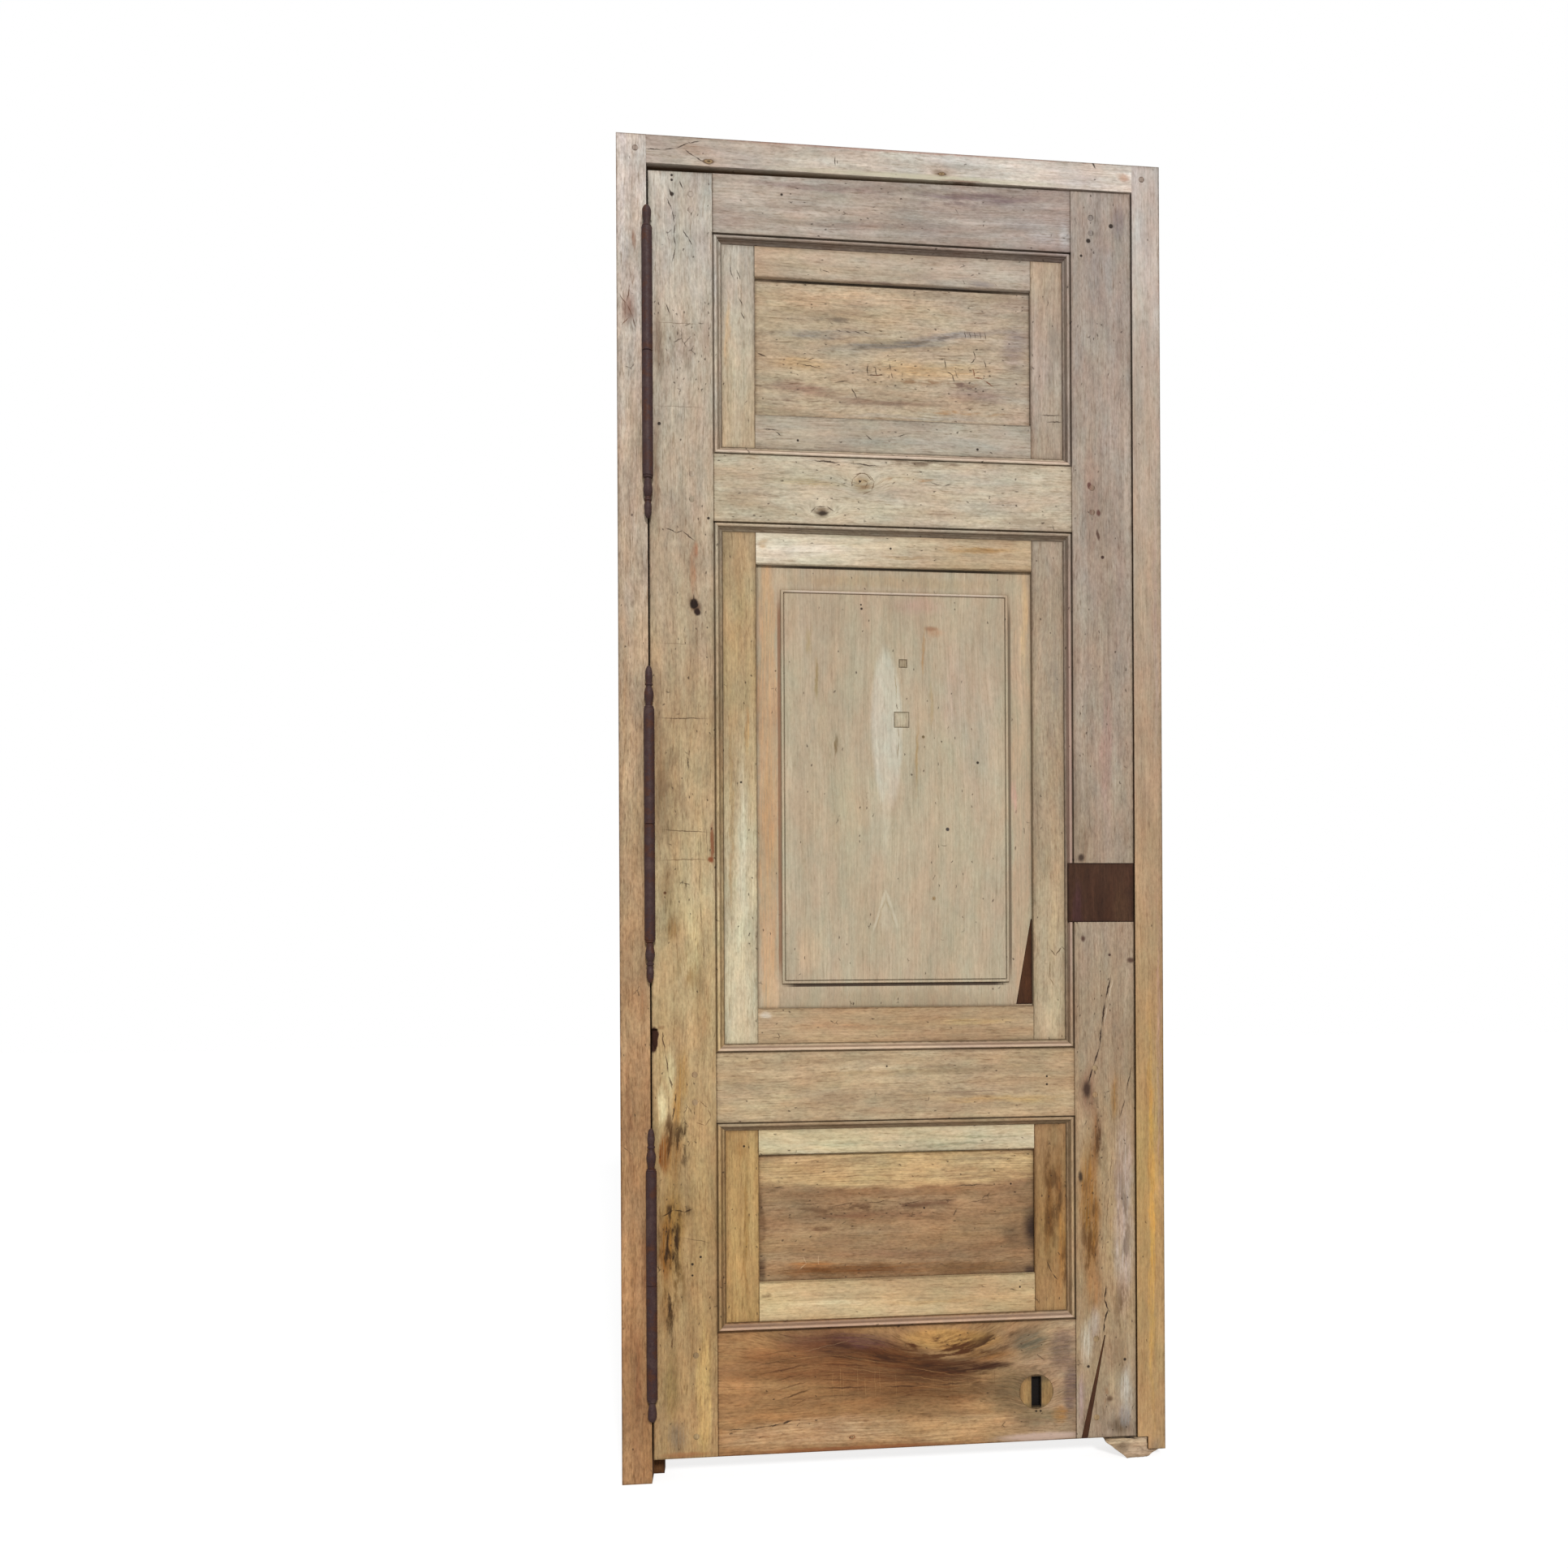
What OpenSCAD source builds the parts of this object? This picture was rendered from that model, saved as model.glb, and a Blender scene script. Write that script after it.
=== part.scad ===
// Old walnut door in its frame: a leaf of three panels, each held in an inner frame of flat strips,
// hung on three long turned iron hinges.
// Origin: on the floor under the middle of the overall box. The face that is seen looks along -Y.
// Depths (d) are measured back from the face of the leaf, which is flush with the face of the frame.

/* [Frame] */
// Overall width of the frame
frame_w = 946; // [880:1:1060]
// Overall height of the frame
frame_h = 2286; // [2200:1:2450]
// Width of a jamb's face
jamb_face_w = 50; // [44:1:70]
// Height of the head's face
head_face_h = 48; // [44:1:70]
// Thickness of the stop behind the leaf
stop_t = 25; // [20:1:40]
// How far a jamb's stop stands past its face
jamb_stop_reach = 18; // [14:1:26]
// How far the head's stop hangs below its face
head_stop_reach = 28; // [20:1:36]
// Length of the head's tenons
head_tenon_len = 34; // [24:1:40]
// Height of the broken end of the sill
sill_h = 38; // [30:1:38]
// How far the sill's end is let into the lock jamb
sill_seat = 19; // [14:1:24]
// Length of the sill's end that is left past the jamb, at its top
sill_left_top = 60; // [46:1:90]
// Length of the sill's end that is left past the jamb, at its foot
sill_left_foot = 20; // [12:1:40]
// Height of the upright part of the break at the sill's top
sill_break = 7; // [3:1:12]
// How far the sill's end runs on under the lock jamb's foot
sill_under = 40; // [30:1:46]
// Height at which the lock jamb's worn foot ends beside the sill
lock_jamb_foot = 15; // [8:1:24]

/* [Leaf] */
// Thickness of the leaf
leaf_t = 40; // [38:1:46]
// Gap between the leaf and each jamb
side_gap = 3; // [3:0.5:5]
// Gap over the leaf at its hinge edge
top_gap_hinge = 13; // [5:1:16]
// Gap over the leaf at its lock edge
top_gap_lock = 3; // [2:1:14]
// Gap under the leaf
foot_gap = 40; // [40:1:60]
// Gap between the back of the leaf and the stop
stop_gap = 1; // [0.5:0.5:3]
// Width of a stile's face
stile_w = 107.5; // [100:0.5:125]
// Height of the top rail's face at the hinge stile
top_rail_h = 99; // [90:1:130]
// Height of the upper opening
upper_open_h = 377; // [330:1:420]
// Height of the frieze rail's face
frieze_rail_h = 115; // [100:1:140]
// Height of the lower rail's face
lower_rail_h = 119; // [100:1:140]
// Height of the lower opening
lower_open_h = 358; // [330:1:420]
// Height of the bottom rail's face
bottom_rail_h = 210; // [190:1:240]
// Length of the rails' tenons
tenon_len = 80; // [60:1:86]
// Thickness of the rails' tenons
tenon_t = 12; // [10:1:14]
// Diameter of the pegs
peg_d = 10; // [8:0.5:12]

/* [Moulding] */
// Width of the sunk line beside the bead
quirk_w = 2; // [1.5:0.1:3]
// Radius of the bead
bead_r = 3.25; // [2.75:0.05:4]
// Depth of the bead's crest below the face
bead_sink = 0.6; // [0:0.1:1]
// Width of the flat between bead and hollow
fillet_w = 1.5; // [1:0.1:3]
// Radius of the hollow
cove_r = 4.5; // [3.5:0.1:5]
// Chamfer on the plain arris at the back
back_chamfer = 4; // [1:0.5:6]

/* [Inner frames and panels] */
// Width of the upright strips
strip_w = 57; // [45:1:66]
// Width of the upper opening's top strip
upper_strip_top = 53; // [40:1:66]
// Width of the upper opening's bottom strip
upper_strip_foot = 58; // [40:1:70]
// Width of the middle opening's top strip
middle_strip_top = 54; // [40:1:66]
// Width of the middle opening's bottom strip
middle_strip_foot = 60; // [40:1:70]
// Width of the lower opening's top strip
lower_strip_top = 43; // [36:1:66]
// Width of the lower opening's bottom strip
lower_strip_foot = 67; // [40:1:76]
// Depth of the strips' face
strip_sink = 9; // [8.7:0.1:10]
// Thickness of the strips
strip_t = 22; // [22:0.5:25]
// Thickness of the strips' tongues
tongue_t = 11; // [9:0.5:12]
// Depth of the grooves for tongues and panels
groove_depth = 10; // [8:0.5:10.5]
// Depth of the panels' face below the strips' face
panel_sink = 7; // [5:0.5:8]
// Thickness of the panels
panel_t = 10; // [8:0.5:11]
// Margin round the raised field of the middle panel
field_margin = 42; // [30:1:60]
// Height of the raised field above its panel
field_rise = 4.5; // [3.5:0.1:5]
// Width of the bead round the raised field
field_bead_w = 5; // [4:0.5:6]
// Width of the sunk line inside that bead
field_line_w = 1.2; // [0.8:0.1:2]

/* [Hinges] */
// Diameter of the hinge barrels
barrel_d = 18; // [16:0.5:20]
// Distance of the hinge axis in front of the face
axis_stand = 9.5; // [9.5:0.5:14]
// Diameter of the hinge pins
pin_d = 10; // [8:0.5:11]
// Length of the top hinge's barrel
top_barrel_len = 420; // [360:2:460]
// Length of the middle hinge's barrel
middle_barrel_len = 392; // [340:2:440]
// Length of the bottom hinge's barrel
bottom_barrel_len = 386; // [340:2:420]
// Height of the top hinge's middle below the top of the leaf
top_hinge_drop = 312; // [280:1:400]
// Height of the middle hinge's middle below the half-way point of the other two
middle_hinge_drop = 10; // [0:1:40]
// Height of the bottom hinge's middle above the floor
bottom_hinge_z = 338; // [320:1:400]
// Thickness of the hinge wings
wing_t = 2.5; // [2:0.5:3]
// Depth to which the wings reach behind the face
wing_reach = 30; // [24:1:34]
// Height of a full finial
full_finial_h = 72; // [60:1:84]
// Height of a short finial
short_finial_h = 38; // [30:1:46]
// Diameter of the wing screws' shanks
screw_d = 4; // [3.5:0.5:5]
// Length of the wing screws
screw_len = 18; // [12:1:20]

/* [Repairs and wear] */
// Height of the lock patch's lower edge above the floor
patch_z = 948; // [900:1:1000]
// Height of the lock patch
patch_h = 104; // [80:1:120]
// Reach of the lock patch over the moulding
patch_over = 10.5; // [6:0.5:12]
// Thickness of the lock patch
patch_t = 7; // [7:0.5:10]
// Depth of the patch's face below the stile's face
patch_sink = 0.6; // [0.2:0.1:1.5]
// Height of the tapered fillet let into the lock stile
stile_fillet_h = 180; // [120:1:200]
// Width of that fillet at its foot
stile_fillet_w = 11; // [8:0.5:16]
// Depth of the let-in fillets and plugs
inlay_t = 6; // [4:0.5:7]
// Height of the tapered fillet at the edge of the middle panel
panel_fillet_h = 149; // [100:1:200]
// Width of that fillet at its foot
panel_fillet_w = 28; // [16:1:34]
// Side of the small square plug
small_plug_w = 14; // [10:1:20]
// Height of the small plug's middle below the top of the raised field
small_plug_drop = 124; // [80:1:160]
// Place of the small plug right of the leaf's middle
small_plug_x = 13; // [-40:1:40]
// Width of the large plug
large_plug_w = 26; // [18:1:30]
// Height of the large plug
large_plug_h = 27; // [20:1:32]
// Height of the large plug's middle below the top of the raised field
large_plug_drop = 222; // [190:1:260]
// Place of the large plug right of the leaf's middle
large_plug_x = 10; // [-40:1:40]
// Diameter of the round plug in the bottom rail
round_plug_d = 60; // [60:1:70]
// Width of the old slot in that plug
slot_w = 16; // [10:1:20]
// Height of the old slot
slot_h = 53; // [40:1:56]
// Distance of the slot's middle from the lock stile
slot_from_stile = 72; // [50:1:120]
// Height of the slot's middle above the foot of the leaf
slot_rise = 86; // [60:1:120]
// Depth of the old slot, through the plug and into the rail
slot_d = 12; // [8:1:20]
// Height of the chip in the hinge stile above the foot of the leaf
chip_rise = 690; // [600:1:720]
// Height of the chip
chip_h = 40; // [30:1:70]
// Width of the chip
chip_w = 10; // [6:1:14]

/* [Clearances] */
// Clearance of joints between wooden pieces
fit = 0.3; // [0.2:0.05:0.4]
// Clearance of pegs, pins and screws in the holes that hold them
hold_fit = 0.05; // [0.02:0.01:0.08]
// Clearance of a hinge pin in the knuckle that turns on it
run_fit = 0.08; // [0.05:0.01:0.1]
// Gap between the two knuckles of a hinge
knuckle_gap = 0.3; // [0.2:0.1:0.5]

/* [Hidden] */
$fn = 64;

leaf_colour = "#c3ad88";
rail_colour = "#bba27a";
strip_colour = "#c6b28e";
panel_colour = "#bfa57d";
frame_colour = "#b8946c";
repair_colour = "#5a3a2e";
peg_colour = "#8f7757";
iron_colour = "#4a3d40";
steel_colour = "#6f6a66";

// Margin by which a cut runs past the faces it goes through, and a moulding is rooted in its board
over = 1;

// Overall depths: the box runs from the front of the barrels to the back of the frame
barrel_r = barrel_d / 2;
rebate_d = leaf_t + stop_gap;
frame_d = rebate_d + stop_t;
front_y = (axis_stand + barrel_r - frame_d) / 2;

// Plan of frame and leaf
face_r = frame_w / 2 - jamb_face_w;
leaf_l = -face_r + side_gap;
leaf_r = face_r - side_gap;
line_l = leaf_l + stile_w;
line_r = leaf_r - stile_w;
head_low = frame_h - head_face_h;

// Edges of the leaf: its head is out of level, its foot is level
function head_z(x) = head_low - top_gap_hinge + (top_gap_hinge - top_gap_lock) * (x - leaf_l) / (leaf_r - leaf_l);

// Openings as [left, low, right, top, foot strip width, top strip width]
upper_top = head_z(leaf_l) - top_rail_h;
upper_low = upper_top - upper_open_h;
middle_top = upper_low - frieze_rail_h;
lower_low = foot_gap + bottom_rail_h;
lower_top = lower_low + lower_open_h;
middle_low = lower_top + lower_rail_h;
UPPER = [line_l, upper_low, line_r, upper_top, upper_strip_foot, upper_strip_top];
MIDDLE = [line_l, middle_low, line_r, middle_top, middle_strip_foot, middle_strip_top];
LOWER = [line_l, lower_low, line_r, lower_top, lower_strip_foot, lower_strip_top];
OPENINGS = [UPPER, MIDDLE, LOWER];

// Rails as [low, top] at the hinge stile
TOP_RAIL = [upper_top, head_z(leaf_l)];
FRIEZE_RAIL = [middle_top, upper_low];
LOWER_RAIL = [lower_top, middle_low];
BOTTOM_RAIL = [foot_gap, lower_low];
RAILS = [TOP_RAIL, FRIEZE_RAIL, LOWER_RAIL, BOTTOM_RAIL];

// Section of the moulded edge and of the inner frame
moulding_w = quirk_w + 2 * bead_r + fillet_w + cove_r;
spring_d = bead_sink + bead_r;
strip_back = strip_sink + strip_t;
panel_d = strip_sink + panel_sink;
panel_back = panel_d + panel_t;
tongue_d = strip_sink + (strip_t - tongue_t) / 2;
tongue_end = moulding_w - groove_depth + fit;
strip_edge = moulding_w + strip_w;
tenon_d = (leaf_t - tenon_t) / 2;

// Tenon shoulders and peg places
haunch = 16;
peg_inset = 36;
peg_from_line = 36;
peg_proud = 0.4;
LEAF_PEGS = [
    for (side = [-1, 1])
        for (rail = RAILS)
            for (z = [rail[0] + peg_inset, rail[1] - peg_inset])
                [side * (line_r + peg_from_line), z]
];
head_haunch = 8;
frame_peg_in = 18;
FRAME_PEGS = [for (side = [-1, 1]) [side * (face_r + frame_peg_in), head_low + head_face_h / 2]];

// Hinges as [middle height, barrel length, full upper finial, full lower finial]
axis_x = leaf_l - side_gap / 2;
axis_y = front_y - axis_stand;
top_hinge_z = head_z(leaf_l) - top_hinge_drop;
middle_hinge_z = (top_hinge_z + bottom_hinge_z) / 2 - middle_hinge_drop;
TOP_HINGE = [top_hinge_z, top_barrel_len, false, true];
MIDDLE_HINGE = [middle_hinge_z, middle_barrel_len, true, true];
BOTTOM_HINGE = [bottom_hinge_z, bottom_barrel_len, true, false];
HINGES = [TOP_HINGE, MIDDLE_HINGE, BOTTOM_HINGE];
pin_r = pin_d / 2;
barrel_chamfer = 1;
wing_proud = 0.5;
wing_end_gap = 6;
wing_root = pin_r + (barrel_r - pin_r) / 2;
finial_spigot = 8;
screw_head_r = screw_d;
screw_head_t = 1.2;
screw_from_face = 20;
screw_end = 30;

// Raised field of the middle panel as [left, low, right, top]
FIELD = [
    line_l + strip_edge + field_margin,
    middle_low + moulding_w + middle_strip_foot + field_margin,
    line_r - strip_edge - field_margin,
    middle_top - moulding_w - middle_strip_top - field_margin
];

// Places of the repairs and of the wear
stile_fillet_foot = 8.5;
stile_fillet_lean = 37;
tip_w = 1.5;
panel_fillet_gap = 1;
panel_fillet_rise = 3;
SMALL_PLUG = [small_plug_x, FIELD[3] - small_plug_drop];
LARGE_PLUG = [large_plug_x, FIELD[3] - large_plug_drop];
SLOT = [line_r - slot_from_stile, foot_gap + slot_rise];
chip_z = foot_gap + chip_rise;
chip_d = 6;
chip_lean = 3;

// Prism of an outline in the XZ plane between two depths
module slab(outline, d0, d1) {
    translate([0, front_y + d1, 0])
        rotate([90, 0, 0])
            linear_extrude(d1 - d0)
                polygon(outline);
}

// Block between two corners [x, z] and two depths
module block(low, high, d0, d1) {
    slab([low, [high[0], low[1]], high, [low[0], high[1]]], d0, d1);
}

// Section in [depth, distance in from the edge], carried along X
module along(len) {
    translate([0, front_y, 0])
        rotate([90, 0, 90])
            linear_extrude(len)
                children();
}

// Round bar through the thickness of frame or leaf at a place [x, z]
module dowel(place, d, d0, d1) {
    translate([place[0], front_y + d1, place[1]])
        rotate([90, 0, 0])
            cylinder(d = d, h = d1 - d0);
}

// Sides of a rectangle [left, low, right, top]: 0 foot, 1 left, 2 top, 3 right.
// X then runs along the side and Z in from it.
function side_start(side, r) =
    side == 0 ? [r[0], r[1]] : side == 1 ? [r[0], r[3]] : side == 2 ? [r[2], r[3]] : [r[2], r[1]];
function side_len(side, r) = side % 2 == 0 ? r[2] - r[0] : r[3] - r[1];

module on_side(side, r) {
    start = side_start(side, r);
    translate([start[0], 0, start[1]])
        rotate([0, 90 * side, 0])
            children();
}

// Space between the two mitres of a side, with a root in the board behind it
module mitres(len, w) {
    slab([[0, -over], [len, -over], [len, 0], [len - w, w], [w, w], [0, 0]], -over, leaf_t + over);
}

// Section of the moulding: sunk line, bead, flat and hollow at the front, chamfer at the back
module moulding_section() {
    difference() {
        translate([0, -over])
            square([leaf_t, moulding_w + over]);
        translate([-over, -2 * over])
            square([spring_d + over, quirk_w + 2 * over]);
        difference() {
            translate([-over, quirk_w])
                square([spring_d + over, 2 * bead_r]);
            translate([spring_d, quirk_w + bead_r])
                circle(r = bead_r);
        }
        translate([-over, quirk_w + 2 * bead_r])
            square([spring_d + over, fillet_w + cove_r + over]);
        translate([spring_d, moulding_w])
            circle(r = cove_r);
        polygon([
            [leaf_t - back_chamfer, moulding_w],
            [leaf_t, moulding_w - back_chamfer],
            [leaf_t + over, moulding_w + over]
        ]);
    }
}

// Moulded edge of one side of an opening, mitred at both ends and grooved for the inner frame
module moulded_edge(side, opening) {
    len = side_len(side, opening);
    on_side(side, opening)
        difference() {
            intersection() {
                along(len)
                    moulding_section();
                mitres(len, moulding_w);
            }
            along(len)
                translate([tongue_d - fit, moulding_w - groove_depth])
                    square([tongue_t + 2 * fit, groove_depth + over]);
        }
}

// Stile between two x, with moulded edges on one side of each opening
module stile(x0, x1, side) {
    inward = side == 1 ? 1 : -1;
    line = inward > 0 ? x1 : x0;
    difference() {
        union() {
            slab([[x0, foot_gap], [x1, foot_gap], [x1, head_z(x1)], [x0, head_z(x0)]], 0, leaf_t);
            for (opening = OPENINGS)
                moulded_edge(side, opening);
        }
        for (rail = RAILS)
            slab([
                [line - inward * (tenon_len + fit), rail[0] + haunch - fit],
                [line + inward * over, rail[0] + haunch - fit],
                [line + inward * over, rail[1] - haunch + fit],
                [line - inward * (tenon_len + fit), rail[1] - haunch + fit]
            ], tenon_d - fit, tenon_d + tenon_t + fit);
        for (place = LEAF_PEGS)
            dowel(place, peg_d + 2 * hold_fit, -over, leaf_t + over);
    }
}

// Rail of a given outline, tenoned into both stiles
module rail(outline, span, opening_over, opening_under) {
    difference() {
        union() {
            slab(outline, 0, leaf_t);
            block(
                [line_l - tenon_len, span[0] + haunch],
                [line_r + tenon_len, span[1] - haunch],
                tenon_d,
                tenon_d + tenon_t
            );
            if (opening_over)
                moulded_edge(0, opening_over);
            if (opening_under)
                moulded_edge(2, opening_under);
        }
        for (place = LEAF_PEGS)
            dowel(place, peg_d + 2 * hold_fit, -over, leaf_t + over);
    }
}

// Upright strip of an inner frame, tongued into the moulded edges all round
module upright_strip(side, opening) {
    len = side_len(side, opening);
    inset = moulding_w + fit;
    color(strip_colour)
        on_side(side, opening)
            difference() {
                union() {
                    block([inset, inset], [len - inset, strip_edge], strip_sink, strip_back);
                    block(
                        [tongue_end, tongue_end],
                        [len - tongue_end, strip_edge - groove_depth],
                        tongue_d,
                        tongue_d + tongue_t
                    );
                }
                along(len)
                    translate([panel_d, strip_edge - groove_depth])
                        square([panel_t + fit, groove_depth + over]);
            }
}

// Level strip of an inner frame, with stub tenons in the grooves of the upright strips
module level_strip(side, opening, w) {
    len = side_len(side, opening);
    edge = moulding_w + w;
    start = strip_edge + fit;
    stub = strip_edge - groove_depth + fit;
    color(strip_colour)
        on_side(side, opening)
            difference() {
                union() {
                    block([start, moulding_w + fit], [len - start, edge], strip_sink, strip_back);
                    block([start, tongue_end], [len - start, edge - groove_depth], tongue_d, tongue_d + tongue_t);
                    block(
                        [stub, moulding_w + fit],
                        [len - stub, edge - groove_depth],
                        panel_d + fit / 2,
                        panel_back
                    );
                }
                along(len)
                    translate([panel_d, edge - groove_depth])
                        square([panel_t + fit, groove_depth + over]);
            }
}

// Panel board in the grooves of an inner frame
module panel_board(opening) {
    inset = groove_depth - fit;
    block(
        [opening[0] + strip_edge - inset, opening[1] + moulding_w + opening[4] - inset],
        [opening[2] - strip_edge + inset, opening[3] - moulding_w - opening[5] + inset],
        panel_d,
        panel_back
    );
}

// Section across the raised field of a given width, filled inside its bead
module field_hill(w) {
    bead = field_bead_w / 2;
    crest = panel_d - field_rise;
    translate([crest + bead, 0])
        square([field_rise - bead + over, w]);
    translate([crest, bead])
        square([field_rise, w - field_bead_w]);
    for (edge = [bead, w - bead])
        translate([crest + bead, edge])
            circle(r = bead);
}

// Section of the hollow inside the bead, down to the panel
module field_hollow(w) {
    bead = field_bead_w / 2;
    crest = panel_d - field_rise;
    difference() {
        translate([crest - over, bead])
            square([field_rise + over, w - field_bead_w]);
        for (edge = [bead, w - bead]) {
            translate([crest + bead, edge])
                circle(r = bead);
            translate([crest + bead, edge - bead])
                square([field_rise, field_bead_w]);
        }
    }
}

// Bead round the raised field: where the sections of the two directions cross, its corners are mitred
module field_bead() {
    w = side_len(0, FIELD);
    h = side_len(1, FIELD);
    difference() {
        intersection() {
            on_side(0, FIELD)
                along(w)
                    field_hill(h);
            on_side(1, FIELD)
                along(h)
                    field_hill(w);
        }
        intersection() {
            on_side(0, FIELD)
                along(w)
                    field_hollow(h);
            on_side(1, FIELD)
                along(h)
                    field_hollow(w);
        }
    }
}

// Outline of a tapered fillet in the lock stile, a clearance larger than the piece
function stile_fillet_outline(grow) =
    let (x = line_r + stile_fillet_foot)
    let (tip = x + stile_fillet_lean + stile_fillet_w / 2)
    [
        [x - grow, foot_gap - grow],
        [x + stile_fillet_w + grow, foot_gap - grow],
        [tip + tip_w + grow, foot_gap + stile_fillet_h + grow],
        [tip - grow, foot_gap + stile_fillet_h + grow]
    ];

// Outline of the tapered fillet at the lock edge of the middle panel
function panel_fillet_outline(grow) =
    let (x = line_r - strip_edge - panel_fillet_gap)
    let (z = middle_low + moulding_w + middle_strip_foot + panel_fillet_rise)
    [
        [x - panel_fillet_w - grow, z - grow],
        [x + grow, z - grow],
        [x + grow, z + panel_fillet_h + grow],
        [x - tip_w - grow, z + panel_fillet_h + grow]
    ];

// Square plug in the raised field, a clearance larger than the piece
module plug(place, w, h, grow) {
    block(
        [place[0] - w / 2 - grow, place[1] - h / 2 - grow],
        [place[0] + w / 2 + grow, place[1] + h / 2 + grow],
        panel_d - field_rise - (grow > 0 ? over : 0),
        panel_d - field_rise + inlay_t
    );
}

// Old slot through the round plug of the bottom rail
module old_slot() {
    block(
        [SLOT[0] - slot_w / 2, SLOT[1] - slot_h / 2],
        [SLOT[0] + slot_w / 2, SLOT[1] + slot_h / 2],
        -over,
        slot_d
    );
}

// Jamb of the frame: its stop stands behind the leaf
module jamb(mirrored) {
    mirror([mirrored ? 1 : 0, 0, 0])
        translate([0, front_y, 0])
            linear_extrude(frame_h)
                polygon([
                    [-frame_w / 2, 0],
                    [-face_r, 0],
                    [-face_r, rebate_d],
                    [-face_r + jamb_stop_reach, rebate_d],
                    [-face_r + jamb_stop_reach, frame_d],
                    [-frame_w / 2, frame_d]
                ]);
}

// Tenons of the head, a clearance larger for the mortises
module head_tenons(grow) {
    reach = face_r + head_tenon_len + grow;
    block(
        [-reach, head_low + head_haunch - grow],
        [reach, frame_h - head_haunch + grow],
        tenon_d - grow,
        tenon_d + tenon_t + grow
    );
}

module frame_peg_holes() {
    for (place = FRAME_PEGS)
        dowel(place, peg_d + 2 * hold_fit, -over, frame_d + over);
}

// Wing of one knuckle between two heights: 1 on the leaf, -1 on the frame
module wing(hand, z0, z1, grow) {
    inner = side_gap / 2 - wing_proud;
    x0 = hand > 0 ? inner - grow : -inner - wing_t - grow;
    translate([axis_x + x0, axis_y + wing_root, z0 - grow])
        cube([wing_t + 2 * grow, axis_stand - wing_root + wing_reach + grow, z1 - z0 + 2 * grow]);
}

// Heights of a knuckle's wing
function wing_span(hinge, hand) =
    hand > 0
        ? [hinge[0] + knuckle_gap + wing_end_gap, hinge[0] + hinge[1] / 2 - wing_end_gap]
        : [hinge[0] - hinge[1] / 2 + wing_end_gap, hinge[0] - wing_end_gap];

module wings(hand, grow) {
    for (hinge = HINGES) {
        span = wing_span(hinge, hand);
        wing(hand, span[0], span[1], grow);
    }
}

// Heights of the three screws in a wing
function screw_heights(hinge, hand) =
    let (span = wing_span(hinge, hand))
    [span[0] + screw_end, (span[0] + span[1]) / 2, span[1] - screw_end];

// Screws of one hinge's wing, a clearance larger for their holes
module wing_screws_of(hinge, hand, grow) {
    inner = side_gap / 2 - wing_proud;
    for (z = screw_heights(hinge, hand))
        translate([axis_x + hand * inner, front_y + screw_from_face, z])
            rotate([0, hand * 90, 0]) {
                translate([0, 0, grow > 0 ? -over : 0])
                    cylinder(r = screw_head_r + grow, h = screw_head_t + (grow > 0 ? over : 0));
                cylinder(d = screw_d + 2 * grow, h = screw_len + grow);
            }
}

module wing_screws(hand, grow) {
    for (hinge = HINGES)
        wing_screws_of(hinge, hand, grow);
}

// Turned barrel between two heights, with its arrises broken
module barrel(z0, z1) {
    rotate_extrude()
        polygon([
            [0, z0],
            [barrel_r - barrel_chamfer, z0],
            [barrel_r, z0 + barrel_chamfer],
            [barrel_r, z1 - barrel_chamfer],
            [barrel_r - barrel_chamfer, z1],
            [0, z1]
        ]);
}

// Knuckle with its wing: the upper one turns with the leaf, the lower one is fixed to the frame
module knuckle(hinge, hand) {
    z0 = hand > 0 ? hinge[0] + knuckle_gap : hinge[0] - hinge[1] / 2;
    z1 = hand > 0 ? hinge[0] + hinge[1] / 2 : hinge[0];
    bore_r = pin_r + (hand > 0 ? run_fit : hold_fit);
    span = wing_span(hinge, hand);
    color(iron_colour)
        difference() {
            union() {
                translate([axis_x, axis_y, 0])
                    barrel(z0, z1);
                wing(hand, span[0], span[1], 0);
            }
            translate([axis_x, axis_y, z0 - over])
                cylinder(r = bore_r, h = z1 - z0 + 2 * over);
            wing_screws_of(hinge, hand, hold_fit);
        }
}

module hinge_pin(hinge) {
    half = hinge[1] / 2 - finial_spigot - knuckle_gap;
    color(iron_colour)
        translate([axis_x, axis_y, hinge[0] - half])
            cylinder(r = pin_r, h = 2 * half);
}

// Half outline of a swelling neck between two heights, as [radius, height]
swell_steps = 8;
function swell(z0, z1, r0, r1, bulge) = [
    for (i = [0:swell_steps])
        let (t = i / swell_steps)
        [r0 + (r1 - r0) * t + bulge * sin(180 * pow(t, 1.5)), z0 + (z1 - z0) * t]
];

// Half outline of a rounded tip that closes on the axis
function tip(z0, z1, r) = [
    for (i = [1:swell_steps])
        let (t = 90 * i / swell_steps)
        [r * cos(t), z0 + (z1 - z0) * sin(t)]
];

// Full finial: ring, vase, ring and bullet. Short finial: ring and bulb.
function full_outline(h, r) = concat(
    [[0, 0], [0.86 * r, 0], [0.9 * r, 0.02 * h], [0.86 * r, 0.04 * h], [0.6 * r, 0.06 * h]],
    swell(0.09 * h, 0.46 * h, 0.62 * r, 0.64 * r, 0.26 * r),
    [[0.52 * r, 0.49 * h], [0.52 * r, 0.52 * h], [0.72 * r, 0.54 * h], [0.72 * r, 0.57 * h], [0.54 * r, 0.6 * h]],
    swell(0.62 * h, 0.8 * h, 0.56 * r, 0.66 * r, 0.08 * r),
    tip(0.8 * h, h, 0.66 * r)
);
function short_outline(h, r) = concat(
    [[0, 0], [0.84 * r, 0], [0.9 * r, 0.04 * h], [0.84 * r, 0.08 * h], [0.56 * r, 0.12 * h]],
    swell(0.16 * h, 0.7 * h, 0.56 * r, 0.84 * r, 0.06 * r),
    tip(0.7 * h, h, 0.84 * r)
);

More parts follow.
